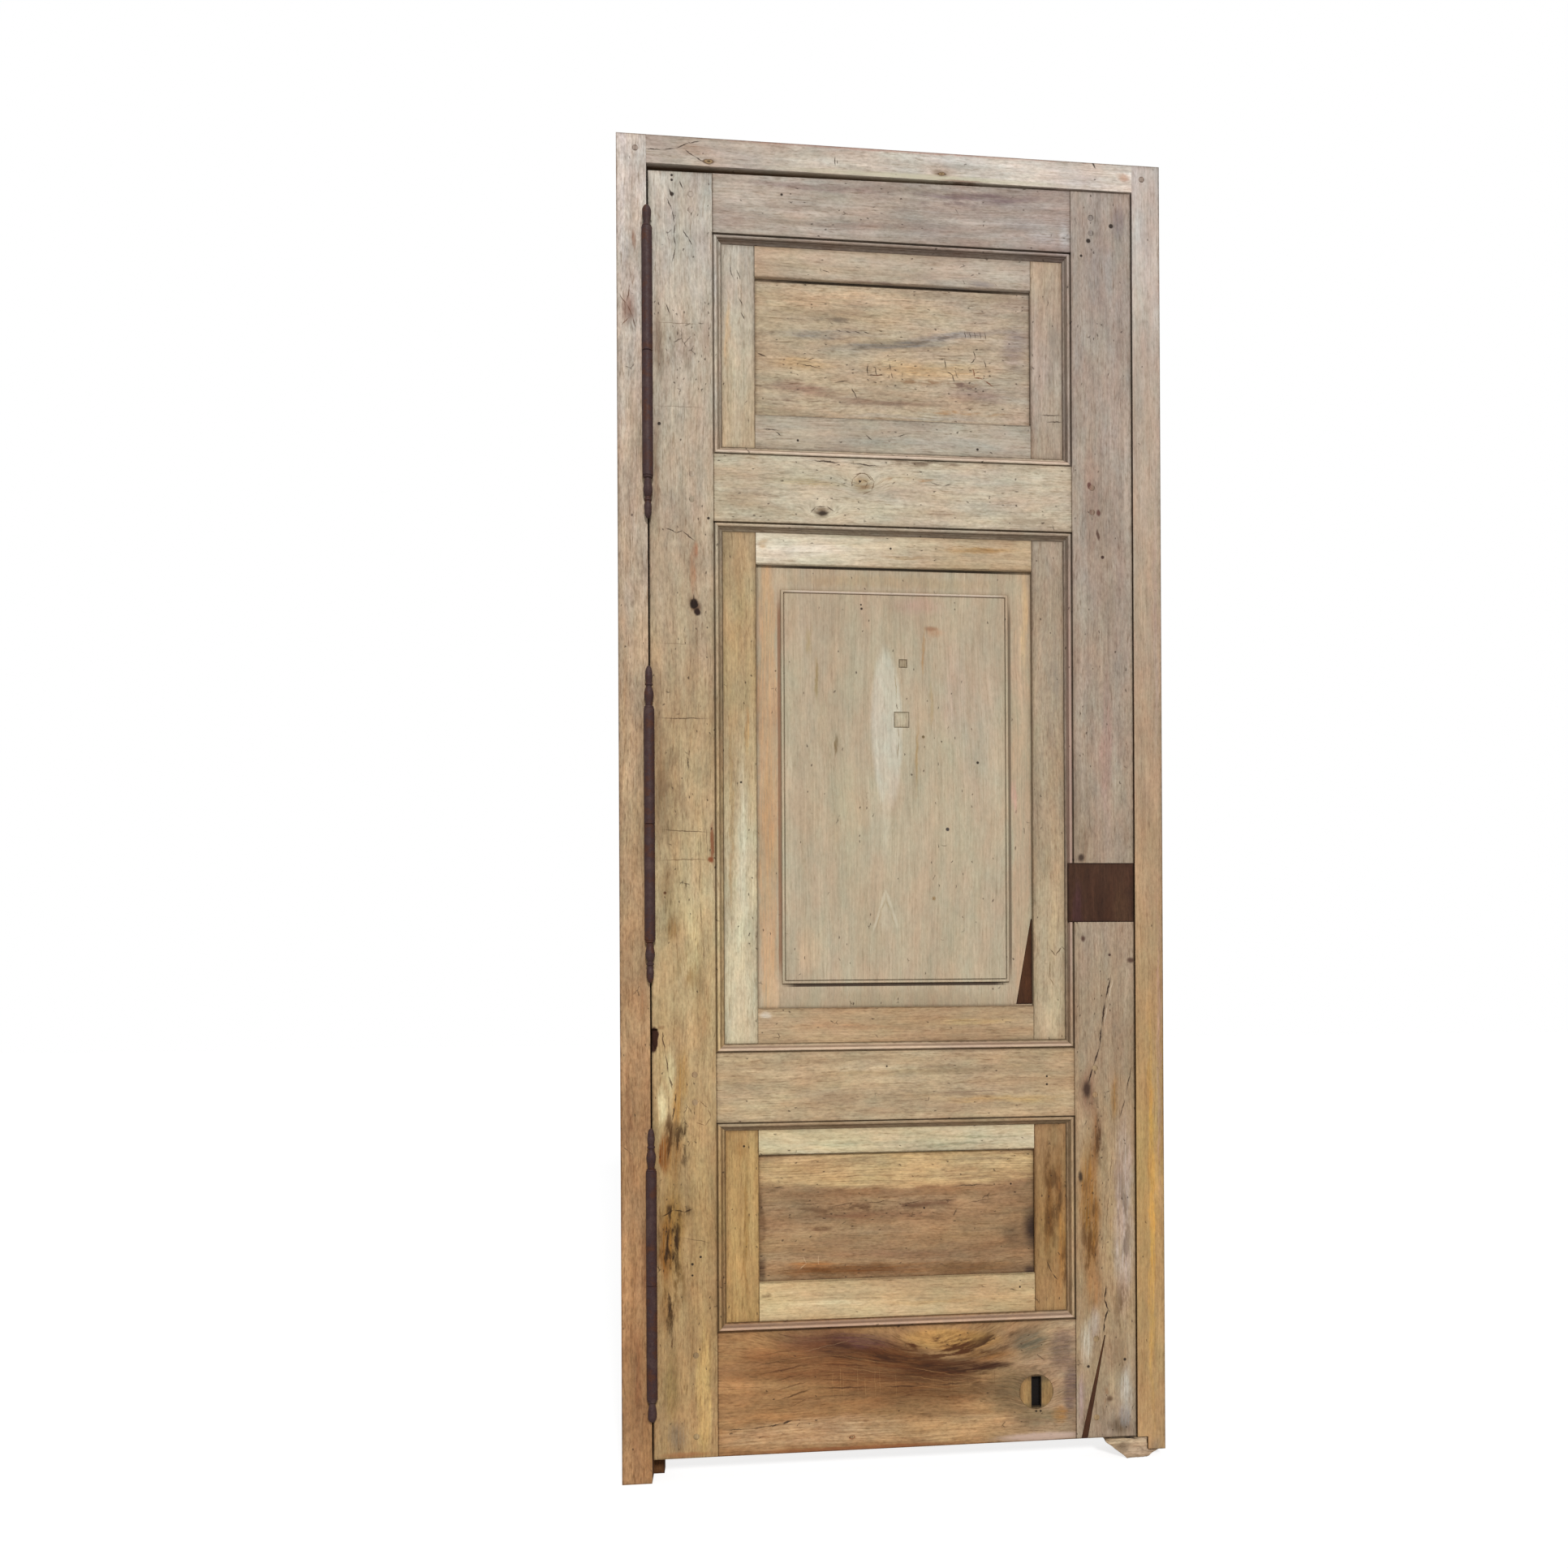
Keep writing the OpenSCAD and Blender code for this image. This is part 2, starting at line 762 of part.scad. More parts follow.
// Finial on one end of a barrel, with a spigot in the bore: 1 points up, -1 points down
module finial(hinge, hand) {
    full = hand > 0 ? hinge[2] : hinge[3];
    h = full ? full_finial_h : short_finial_h;
    outline = full ? full_outline(h, barrel_r) : short_outline(h, barrel_r);
    color(iron_colour)
        translate([axis_x, axis_y, hinge[0] + hand * hinge[1] / 2])
            mirror([0, 0, hand > 0 ? 0 : 1]) {
                rotate_extrude()
                    polygon(outline);
                translate([0, 0, -finial_spigot])
                    cylinder(r = pin_r, h = finial_spigot);
            }
}

// Frame
module hinge_jamb() {
    color(frame_colour)
        difference() {
            jamb(false);
            head_tenons(fit);
            frame_peg_holes();
            wings(-1, fit);
            wing_screws(-1, hold_fit);
        }
}

module lock_jamb() {
    color(frame_colour)
        difference() {
            jamb(true);
            head_tenons(fit);
            frame_peg_holes();
            block([0, -over], [face_r + sill_seat, sill_h], -over, frame_d + over);
            block([0, -over], [frame_w, lock_jamb_foot], -over, frame_d + over);
        }
}

module head() {
    inner = face_r - jamb_stop_reach;
    color(frame_colour)
        difference() {
            union() {
                translate([-inner, 0, 0])
                    along(2 * inner)
                        polygon([
                            [0, head_low],
                            [rebate_d, head_low],
                            [rebate_d, head_low - head_stop_reach],
                            [frame_d, head_low - head_stop_reach],
                            [frame_d, frame_h],
                            [0, frame_h]
                        ]);
                block([-face_r, head_low], [face_r, frame_h], 0, rebate_d);
                head_tenons(0);
            }
            frame_peg_holes();
        }
}

// Broken end of the sill: raked where it broke, and worn to a wedge under the jamb
module sill_end() {
    seat = face_r + sill_seat;
    under = lock_jamb_foot - fit;
    color(frame_colour)
        slab([
            [face_r - sill_left_foot, 0],
            [seat - fit, 0],
            [face_r + sill_under, under],
            [seat - fit, under],
            [seat - fit, sill_h - fit],
            [face_r - sill_left_top, sill_h - fit],
            [face_r - sill_left_top, sill_h - sill_break]
        ], 0, frame_d);
}

module frame_pegs() {
    color(peg_colour)
        for (place = FRAME_PEGS)
            dowel(place, peg_d, -peg_proud, frame_d);
}

// Leaf
module hinge_stile() {
    color(leaf_colour)
        difference() {
            stile(leaf_l, line_l, 1);
            wings(1, fit);
            wing_screws(1, hold_fit);
            slab([
                [leaf_l - over, chip_z + chip_h / 2],
                [leaf_l + chip_w - chip_lean, chip_z],
                [leaf_l + chip_w, chip_z + chip_h],
                [leaf_l - over, chip_z + chip_h]
            ], -over, chip_d);
        }
}

module lock_stile() {
    color(leaf_colour)
        difference() {
            stile(line_r, leaf_r, 3);
            block([line_r - patch_over, patch_z], [leaf_r + over, patch_z + patch_h], -over, patch_t);
            slab(stile_fillet_outline(fit), -over, inlay_t);
        }
}

module top_rail() {
    color(rail_colour)
        rail(
            [[line_l, upper_top], [line_r, upper_top], [line_r, head_z(line_r)], [line_l, head_z(line_l)]],
            TOP_RAIL,
            undef,
            UPPER
        );
}

// Outline of a level rail
function rail_outline(span) = [[line_l, span[0]], [line_r, span[0]], [line_r, span[1]], [line_l, span[1]]];

module frieze_rail() {
    color(rail_colour)
        rail(rail_outline(FRIEZE_RAIL), FRIEZE_RAIL, UPPER, MIDDLE);
}

module lower_rail() {
    color(rail_colour)
        rail(rail_outline(LOWER_RAIL), LOWER_RAIL, MIDDLE, LOWER);
}

module bottom_rail() {
    color(rail_colour)
        difference() {
            rail(rail_outline(BOTTOM_RAIL), BOTTOM_RAIL, LOWER, undef);
            dowel(SLOT, round_plug_d + 2 * fit, -over, inlay_t);
            old_slot();
        }
}

module leaf_pegs() {
    color(peg_colour)
        for (place = LEAF_PEGS)
            dowel(place, peg_d, -peg_proud, leaf_t);
}

module upper_panel() {
    color(panel_colour)
        panel_board(UPPER);
}

module middle_panel() {
    inset = field_bead_w + field_line_w;
    color(panel_colour)
        difference() {
            union() {
                panel_board(MIDDLE);
                field_bead();
                block(
                    [FIELD[0] + inset, FIELD[1] + inset],
                    [FIELD[2] - inset, FIELD[3] - inset],
                    panel_d - field_rise,
                    panel_d + over
                );
            }
            slab(panel_fillet_outline(fit), panel_d - over, panel_d + inlay_t);
            plug(SMALL_PLUG, small_plug_w, small_plug_w, fit);
            plug(LARGE_PLUG, large_plug_w, large_plug_h, fit);
        }
}

module lower_panel() {
    color(panel_colour)
        panel_board(LOWER);
}

// Repairs
module lock_patch() {
    color(repair_colour)
        block(
            [line_r - patch_over + fit, patch_z + fit],
            [leaf_r, patch_z + patch_h - fit],
            patch_sink,
            patch_t
        );
}

module stile_fillet() {
    color(repair_colour)
        slab(stile_fillet_outline(0), 0, inlay_t);
}

module panel_fillet() {
    color(repair_colour)
        slab(panel_fillet_outline(0), panel_d, panel_d + inlay_t);
}

module small_plug() {
    color(peg_colour)
        plug(SMALL_PLUG, small_plug_w, small_plug_w, 0);
}

module large_plug() {
    color(peg_colour)
        plug(LARGE_PLUG, large_plug_w, large_plug_h, 0);
}

module round_plug() {
    color(peg_colour)
        difference() {
            dowel(SLOT, round_plug_d, 0, inlay_t);
            old_slot();
        }
}

// Hinge screws
module leaf_wing_screws() {
    color(steel_colour)
        wing_screws(1, 0);
}

module frame_wing_screws() {
    color(steel_colour)
        wing_screws(-1, 0);
}

hinge_jamb();
lock_jamb();
head();
sill_end();
frame_pegs();
hinge_stile();
lock_stile();
top_rail();
frieze_rail();
lower_rail();
bottom_rail();
leaf_pegs();
upright_strip(1, UPPER);  // upper_strip_left
upright_strip(3, UPPER);  // upper_strip_right
level_strip(2, UPPER, upper_strip_top);  // upper_strip_over
level_strip(0, UPPER, upper_strip_foot);  // upper_strip_under
upright_strip(1, MIDDLE);  // middle_strip_left
upright_strip(3, MIDDLE);  // middle_strip_right
level_strip(2, MIDDLE, middle_strip_top);  // middle_strip_over
level_strip(0, MIDDLE, middle_strip_foot);  // middle_strip_under
upright_strip(1, LOWER);  // lower_strip_left
upright_strip(3, LOWER);  // lower_strip_right
level_strip(2, LOWER, lower_strip_top);  // lower_strip_over
level_strip(0, LOWER, lower_strip_foot);  // lower_strip_under
upper_panel();
middle_panel();
lower_panel();
lock_patch();
stile_fillet();
panel_fillet();
small_plug();
large_plug();
round_plug();
knuckle(TOP_HINGE, 1);  // top_hinge_leaf_knuckle
knuckle(TOP_HINGE, -1);  // top_hinge_frame_knuckle
hinge_pin(TOP_HINGE);  // top_hinge_pin
finial(TOP_HINGE, 1);  // top_hinge_upper_finial
finial(TOP_HINGE, -1);  // top_hinge_lower_finial
knuckle(MIDDLE_HINGE, 1);  // middle_hinge_leaf_knuckle
knuckle(MIDDLE_HINGE, -1);  // middle_hinge_frame_knuckle
hinge_pin(MIDDLE_HINGE);  // middle_hinge_pin
finial(MIDDLE_HINGE, 1);  // middle_hinge_upper_finial
finial(MIDDLE_HINGE, -1);  // middle_hinge_lower_finial
knuckle(BOTTOM_HINGE, 1);  // bottom_hinge_leaf_knuckle
knuckle(BOTTOM_HINGE, -1);  // bottom_hinge_frame_knuckle
hinge_pin(BOTTOM_HINGE);  // bottom_hinge_pin
finial(BOTTOM_HINGE, 1);  // bottom_hinge_upper_finial
finial(BOTTOM_HINGE, -1);  // bottom_hinge_lower_finial
leaf_wing_screws();
frame_wing_screws();
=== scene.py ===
"""Old walnut door in its frame: the looks of the part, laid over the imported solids.

Sizes are in millimetres in the words of this file and in metres in Blender. The door faces
-y, x runs along its width from the middle, and z rises from the foot of the frame.
"""
from __future__ import annotations

import logging
import math
from dataclasses import dataclass, field, replace
from enum import Enum
from typing import Any

import bpy
import numpy as np
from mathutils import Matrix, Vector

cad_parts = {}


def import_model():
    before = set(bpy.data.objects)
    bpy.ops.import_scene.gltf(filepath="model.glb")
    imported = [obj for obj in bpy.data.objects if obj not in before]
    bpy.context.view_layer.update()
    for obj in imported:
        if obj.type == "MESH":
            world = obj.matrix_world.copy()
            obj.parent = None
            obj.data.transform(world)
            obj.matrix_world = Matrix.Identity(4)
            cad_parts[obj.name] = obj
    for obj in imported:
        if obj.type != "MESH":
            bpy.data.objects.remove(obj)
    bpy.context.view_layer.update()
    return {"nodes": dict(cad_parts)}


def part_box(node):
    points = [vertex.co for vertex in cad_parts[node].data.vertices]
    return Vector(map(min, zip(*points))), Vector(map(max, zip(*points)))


LOG = logging.getLogger("walnut_door")
MM = 0.001

# Face of the leaf, moulded line of the stiles from the middle, and outer edges of the frame.
FACE_Y = -23.75
LINE_X = 312.5
FRAME_X, FRAME_TOP = 473.0, 2286.0

# Sockets of nodes whose sockets share a name, by number: colour Mix and vector Map Range.
MIX_FACTOR, MIX_A, MIX_B, MIX_RESULT = 0, 6, 7, 2
RANGE_VALUE, RANGE_FROM_LOW, RANGE_FROM_HIGH, RANGE_LOW, RANGE_HIGH = 6, 7, 8, 9, 10
RANGE_RESULT = 1

Point = tuple[float, float]
Triple = tuple[float, float, float]
Quad = tuple[float, float, float, float]
Tree = bpy.types.NodeTree
Socket = bpy.types.NodeSocket


def linear(code: str) -> Quad:
    """Turn an sRGB hex colour into linear light.

    Args:
        code: Colour such as "#b7a88f".

    Returns:
        Red, green, blue and an alpha of 1.
    """
    levels = np.array([int(code[i:i + 2], 16) for i in (1, 3, 5)]) / 255
    light = np.where(levels <= 0.04045, levels / 12.92, ((levels + 0.055) / 1.055) ** 2.4)
    return (*(float(v) for v in light), 1.0)


def put(tree: Tree, kind: str, inputs: dict | None = None,
        stops: tuple = (), **settings: Any) -> bpy.types.Node:
    """Add one shader node with its settings, values and links.

    Args:
        tree: Node tree that takes the node.
        kind: Node type without its "ShaderNode" prefix.
        inputs: Sockets by name or number, each with a value or a socket to link from.
        stops: Places and colours of a colour ramp.
        **settings: Properties of the node.

    Returns:
        The new node.
    """
    node = tree.nodes.new("ShaderNode" + kind)
    for name, value in settings.items():
        setattr(node, name, value)
    for key, value in (inputs or {}).items():
        if isinstance(value, Socket):
            tree.links.new(value, node.inputs[key])
        else:
            node.inputs[key].default_value = value
    for index, (place, colour) in enumerate(stops):
        elements = node.color_ramp.elements
        element = elements[index] if index < 2 else elements.new(place)
        element.position = place
        element.color = colour
    return node


def blank(name: str) -> bpy.types.Material:
    """Make a material with no nodes yet."""
    made = bpy.data.materials.new(name)
    made.use_nodes = True
    made.node_tree.nodes.clear()
    return made


def millimetres(tree: Tree) -> Socket:
    """Give the place on the door in millimetres, from Object coordinates."""
    flat = put(tree, "TexCoord").outputs["Object"]
    return put(tree, "VectorMath", {0: flat, "Scale": 1 / MM}, operation="SCALE").outputs[0]


class Grain(Enum):
    """Direction in which a board's grain runs."""

    UPRIGHT = (1.0, 1.0, 0.0)
    LEVEL = (0.0, 1.0, 1.0)

    def cells(self, across: float, along: float) -> Triple:
        """Give a noise's scale per millimetre for cells of this width and length."""
        return tuple(1 / across if axis else 1 / along for axis in self.value)


class Edge(Enum):
    """How a mark's outline wanders: jitter cell and reach, in millimetres. A square mark has corners."""

    CLEAN = (0.0, 0.0)
    SQUARE = (0.0, 1.0)
    CRACK = (14.0, 6.0)
    SMOOTH = (70.0, 12.0)
    FLECKED = (20.0, 16.0)
    RAGGED = (34.0, 26.0)
    FLAME = (60.0, 40.0)


@dataclass(frozen=True)
class Tone:
    """Colour of a board at one place along its grain."""

    place: float
    colour: str


@dataclass(frozen=True)
class Mark:
    """Spot on the door's face: an ellipse that turns the wood towards a tint.

    Attributes:
        at: Its middle, x and z.
        half: Half its width and height.
        tint: Colour it turns to.
        strength: Share of the tint at its middle.
        core: Part of its half sizes that keeps this share.
        turn: Its turn from level, in degrees.
        edge: How its outline wanders.
        depth: How deep it sinks, in holes.
    """

    at: Point
    half: Point
    tint: str
    strength: float = 0.8
    core: float = 0.2
    turn: float = 0.0
    edge: Edge = Edge.RAGGED
    depth: float = 0.0

    @property
    def soft(self) -> bool:
        """Tell whether the mark is a shade that lies under the grain."""
        return self.edge in (Edge.SMOOTH, Edge.RAGGED, Edge.FLAME)


@dataclass(frozen=True)
class Rim:
    """Darkening along a rectangle's border: grime in a board's joints, and painted shade with grime round
    the mouldings and panels, lightened by a painted highlight where a share passes 1.

    Attributes:
        low: Lowest corner, x and z.
        high: Highest corner.
        shares: Distances inwards and the share of light kept there.
        reach: Last of these distances.
        ragged: How far the dirt's border wanders.
        own: Whether it is the board's own border, whose edge faces stay clean.
    """

    low: Point
    high: Point
    shares: tuple[Point, ...]
    reach: float
    ragged: float = 0.0
    own: bool = False


def around(low: Any, high: Any, shares: tuple[Point, ...], reach: float, ragged: float = 1.5) -> Rim:
    """Lay dirt inside the borders of a solid's box.

    Args:
        low: Lowest corner of the box, in metres.
        high: Highest corner.
        shares: Light kept at distances inwards.
        reach: Last distance of the shares.
        ragged: How far the dirt's border wanders.

    Returns:
        The rim.
    """
    return Rim((low[0] / MM, low[2] / MM), (high[0] / MM, high[2] / MM), shares, reach, ragged, True)


def crack(start: Point, end: Point, width: float = 2.0, tint: str = "#33241a",
          strength: float = 0.9) -> Mark:
    """Draw a crack as a thin ellipse between two points.

    Args:
        start: One end, x and z.
        end: Other end.
        width: Width at its middle.
        tint: Colour in its depth.
        strength: Share of the tint at its middle.

    Returns:
        The crack's mark.
    """
    run, rise = end[0] - start[0], end[1] - start[1]
    middle = ((start[0] + end[0]) / 2, (start[1] + end[1]) / 2)
    return Mark(middle, (math.hypot(run, rise) / 2 + width, width / 2), tint, strength, 0.3,
                math.degrees(math.atan2(rise, run)), Edge.CRACK)


def trail(points: tuple[Point, ...], width: float = 2.0, tint: str = "#33241a",
          strength: float = 0.9) -> tuple[Mark, ...]:
    """Join cracks from point to point.

    Args:
        points: Places the crack runs through.
        width: Width of each piece.
        tint: Colour in its depth.
        strength: Share of the tint.

    Returns:
        One mark for each piece.
    """
    return tuple(crack(a, b, width, tint, strength) for a, b in zip(points, points[1:]))


def hole(at: Point, radius: float, tint: str = "#241a14") -> Mark:
    """Draw a nail or worm hole."""
    return Mark(at, (radius, radius), tint, 0.95, 0.55, 0.0, Edge.CLEAN, 1.0)


def knot(at: Point, half: Point, tint: str = "#5a4330") -> tuple[Mark, ...]:
    """Draw a knot: a soft halo, a dark ring, paler wood in it and a dark heart.

    Args:
        at: Middle of the knot.
        half: Half its width and height.
        tint: Colour of its ring.

    Returns:
        The four marks.
    """
    wide, tall = half
    return (Mark(at, (wide * 1.6, tall * 1.6), tint, 0.35, 0.1, 0.0, Edge.CRACK),
            Mark(at, half, tint, 0.85, 0.7, 0.0, Edge.CRACK),
            Mark(at, (wide * 0.72, tall * 0.72), "#a58a64", 0.75, 0.6, 0.0, Edge.CRACK),
            Mark(at, (wide * 0.34, tall * 0.36), "#2b1e17", 0.85, 0.3, 0.0, Edge.CRACK))


@dataclass(frozen=True)
class Look:
    """One layer of the wood's figure.

    Attributes:
        across: Width of a cell, in millimetres.
        along: Length of a cell; for the growth bands, in band widths.
        detail: Octaves of the noise.
        span: Part of the noise that the layer uses.
        low: Share of each colour kept at the span's low end.
        high: Share kept at its high end.
    """

    across: float
    along: float
    detail: float
    span: Point
    low: Triple
    high: Triple


class Layer(Enum):
    """Layers of the figure. Fibres and grit are coarser than real ones, so that they show."""

    BANDS = Look(0.0, 20.0, 4.0, (0.3, 0.7), (0.83, 0.80, 0.77), (1.11, 1.13, 1.15))
    FIBRE = Look(2.6, 110.0, 3.0, (0.28, 0.72), (0.86, 0.85, 0.84), (1.10, 1.10, 1.11))
    PORE = Look(2.4, 26.0, 2.0, (0.29, 0.43), (0.68, 0.63, 0.58), (1.0, 1.0, 1.0))
    GRIT = Look(3.4, 9.0, 4.0, (0.30, 0.60), (0.78, 0.765, 0.755), (1.08, 1.085, 1.09))
    MOTTLE = Look(13.0, 42.0, 5.0, (0.3, 0.7), (0.88, 0.865, 0.855), (1.09, 1.10, 1.11))
    BLUSH = Look(30.0, 80.0, 4.0, (0.32, 0.68), (1.06, 0.98, 0.955), (0.955, 1.015, 1.02))
    GREY = Look(30.0, 120.0, 4.0, (0.32, 0.68), (0.90, 0.92, 0.96), (1.08, 1.06, 1.01))
    CLOUD = Look(90.0, 200.0, 5.0, (0.34, 0.64), (0.87, 0.85, 0.84), (1.08, 1.08, 1.09))


# Noise that breaks a mark's tint, the part of it used and the tint's share at both ends.
BREAKS: dict[Edge, tuple] = {
    Edge.RAGGED: (Layer.FIBRE, 0.35, 0.62, 0.5, 1.1), Edge.FLAME: (Layer.FIBRE, 0.35, 0.62, 0.5, 1.1),
    Edge.FLECKED: (Layer.MOTTLE, 0.53, 0.41, 0.04, 0.95)}

# Slow sway of the grain: width and length of a bend, and its reach.
SWAY_CELL, SWAY = (95.0, 380.0), 26.0
# Depths, and insets from the frame's outside, between which the rebate's tint comes and goes.
REBATE, STOP_BACK, INSIDE = (FACE_Y + 2.0, FACE_Y + 14.0), (34.0, 42.0), (15.0, 35.0)
# Insets between an edge face, which stays clean, and the dirt of a board's own border.
EDGE_FACE = (0.15, 0.35)
# Drift of the border between two tones.
TONE_DRIFT = 120.0
# Relief of fibres and grit, and depth of a nail hole in the same measure.
RELIEF, HOLE_DEPTH = 0.5, 1.6
# Cells of worm specks and of worm tracks, across and along the grain, and their colour.
SPECK_CELL, TRACK_CELL, WORM = (6.0, 12.0), (17.0, 30.0), "#35261b"


@dataclass(frozen=True)
class OldWalnut:
    """Old walnut, planed, stripped of its wax and left raw.

    To the eye: pale, dry and matt, greyed where it was handled and golden or brown where the
    heartwood shows, with dark pores drawn along the grain, worm specks, and grime with painted
    shade in every corner.

    Attributes:
        name: Name of the board.
        grain: Direction of the grain.
        tones: Colours along the grain, in order.
        band: Width of a growth band.
        figure: Strength of its bands, pores and patches.
        seed: Number that shifts the pattern.
        specks: Share of the cells that hold a worm speck.
        wormy: Middle, half sizes and added share of places thick with specks.
        marks: Spots on its face.
        rims: Dirt along borders.
        inner: Tint of the rebate and the stop, behind the frame's face.
        eddies: Middle, half sizes and lift of places where the grain bends round a knot.
        middle: Depth of the board's middle, behind which its face's cracks, grime, painted shade and
            painted highlights end.
    """

    name: str
    grain: Grain
    tones: tuple[Tone, ...]
    band: float = 15.0
    figure: float = 1.0
    seed: float = 0.0
    specks: float = 0.012
    wormy: tuple[tuple[Point, Point, float], ...] = ()
    marks: tuple[Mark, ...] = ()
    rims: tuple[Rim, ...] = ()
    inner: str | None = None
    eddies: tuple[tuple[Point, Point, float], ...] = ()
    middle: float = 0.0

    def material(self) -> bpy.types.Material:
        """Lay the board's nodes.

        Returns:
            The finished material.
        """
        made = blank(f"raw_walnut_{self.name}")
        tree = made.node_tree
        place = millimetres(tree)
        shift = (self.seed * 137, self.seed * 59, self.seed * 211)
        seeded = put(tree, "VectorMath", {0: place, 1: shift}, operation="ADD").outputs[0]
        low = put(tree, "VectorMath", {0: seeded, 1: self.grain.cells(*SWAY_CELL)}, operation="MULTIPLY")
        low = put(tree, "TexNoise", {"Vector": low.outputs[0], "Scale": 1.0, "Detail": 1.0})
        bent = self._shaken(tree, low, tuple(SWAY * axis for axis in self.grain.value), seeded)
        for at, half, lift in self.eddies:
            near = self._near(tree, place, at, half, 0.0, (0.0, 1.0, 1.0, 0.0))
            bent = put(tree, "VectorMath", {0: bent, 1: self._lifted(tree, near, lift)},
                       operation="ADD").outputs[0]
        layers = {layer: self._noise(tree, bent, layer) for layer in Layer}
        colour = self._tone(tree, place, low.outputs["Fac"])
        soft = [mark for mark in self.marks if mark.soft]
        sharp = [mark for mark in self.marks if not mark.soft]
        colour, _ = self._spots(tree, place, seeded, soft, layers, colour)
        colour, relief = self._figure(tree, layers, colour)
        depth = put(tree, "SeparateXYZ", {0: place}).outputs["Y"]
        front = put(tree, "MapRange",
                    {0: depth, 1: self.middle - 1, 2: self.middle + 1, 3: 1.0, 4: 0.0}).outputs[0]
        marked, sunk = self._spots(tree, place, seeded, sharp, layers, colour)
        colour = put(tree, "Mix", {MIX_FACTOR: front, MIX_A: colour, MIX_B: marked},
                     data_type="RGBA").outputs[MIX_RESULT]
        if sunk:
            relief = put(tree, "Math", {0: sunk, 1: front, 2: relief}, operation="MULTIPLY_ADD").outputs[0]
        colour = self._worms(tree, place, seeded, colour)
        colour = self._grime_and_shade(tree, place, layers[Layer.GRIT], colour)
        bump = put(tree, "Bump", {"Height": relief, "Strength": 0.55, "Distance": 0.8 * MM})
        shader = put(tree, "BsdfPrincipled", {
            "Base Color": colour, "Roughness": 0.8, "Specular IOR Level": 0.2,
            "Normal": bump.outputs[0]})
        put(tree, "OutputMaterial", {"Surface": shader.outputs[0]})
        return made

    @staticmethod
    def _shaken(tree: Tree, noise: bpy.types.Node, reach: Triple,
                place: Socket) -> Socket:
        """Move a place by a coloured noise.

        Args:
            tree: Material's tree.
            noise: Noise node.
            reach: Reach of the move on each axis.
            place: Place to move.

        Returns:
            Moved place.
        """
        parts = put(tree, "SeparateColor", {0: noise.outputs["Color"]})
        drift = put(tree, "CombineXYZ", {0: parts.outputs[0], 1: parts.outputs[1], 2: parts.outputs[2]})
        centred = put(tree, "VectorMath", {0: drift.outputs[0], 1: (0.5, 0.5, 0.5)}, operation="SUBTRACT")
        return put(tree, "VectorMath", {0: centred.outputs[0], 1: reach, 2: place},
                   operation="MULTIPLY_ADD").outputs[0]

    def _lifted(self, tree: Tree, near: Socket, lift: float) -> Socket:
        """Turn nearness to a knot into a move across the grain."""
        across = {2: near} if self.grain is Grain.LEVEL else {0: near}
        raised = put(tree, "CombineXYZ", across)
        return put(tree, "VectorMath", {0: raised.outputs[0], "Scale": lift}, operation="SCALE").outputs[0]

    @staticmethod
    def _near(tree: Tree, place: Socket, at: Point, half: Point, turn: float,
              span: Quad, square: bool = False) -> Socket:
        """Tell how near a place is to the middle of an ellipse or a rectangle on the door's face.

        Args:
            tree: Material's tree.
            place: Place on the door.
            at: Middle of the ellipse.
            half: Its half sizes.
            turn: Its turn from level, in degrees.
            span: Two distances, in half sizes, and the values there.
            square: Whether it is a rectangle.

        Returns:
            The value, smoothed between the two distances.
        """
        if turn:
            place = put(tree, "VectorRotate", {"Vector": place, "Center": (at[0], 0.0, at[1]),
                                               "Angle": math.radians(turn)},
                        rotation_type="Y_AXIS").outputs[0]
        local = put(tree, "VectorMath", {0: place, 1: (1 / half[0], 0.0, 1 / half[1]),
                                         2: (-at[0] / half[0], 0.0, -at[1] / half[1])},
                    operation="MULTIPLY_ADD")
        if square:
            local = put(tree, "VectorMath", {0: local.outputs[0]}, operation="ABSOLUTE")
            parts = put(tree, "SeparateXYZ", {0: local.outputs[0]})
            away = put(tree, "Math", {0: parts.outputs["X"], 1: parts.outputs["Z"]}, operation="MAXIMUM")
        else:
            away = put(tree, "VectorMath", {0: local.outputs[0]}, operation="LENGTH")
        return put(tree, "MapRange", {0: away.outputs["Value"], **dict(enumerate(span, 1))},
                   interpolation_type="SMOOTHSTEP").outputs[0]

    def _noise(self, tree: Tree, bent: Socket,
               layer: Layer) -> Socket:
        """Lay one layer's noise along the grain.

        Args:
            tree: Material's tree.
            bent: Place that sways with the grain.
            layer: Layer of the figure.

        Returns:
            The noise, from 0 to 1.
        """
        look = layer.value
        wide = self.band if layer is Layer.BANDS else look.across
        long = self.band * look.along if layer is Layer.BANDS else look.along
        cell = put(tree, "VectorMath", {0: bent, 1: self.grain.cells(wide, long)}, operation="MULTIPLY")
        return put(tree, "TexNoise", {"Vector": cell.outputs[0], "Scale": 1.0, "Detail": look.detail,
                                      "Roughness": 0.6}).outputs["Fac"]

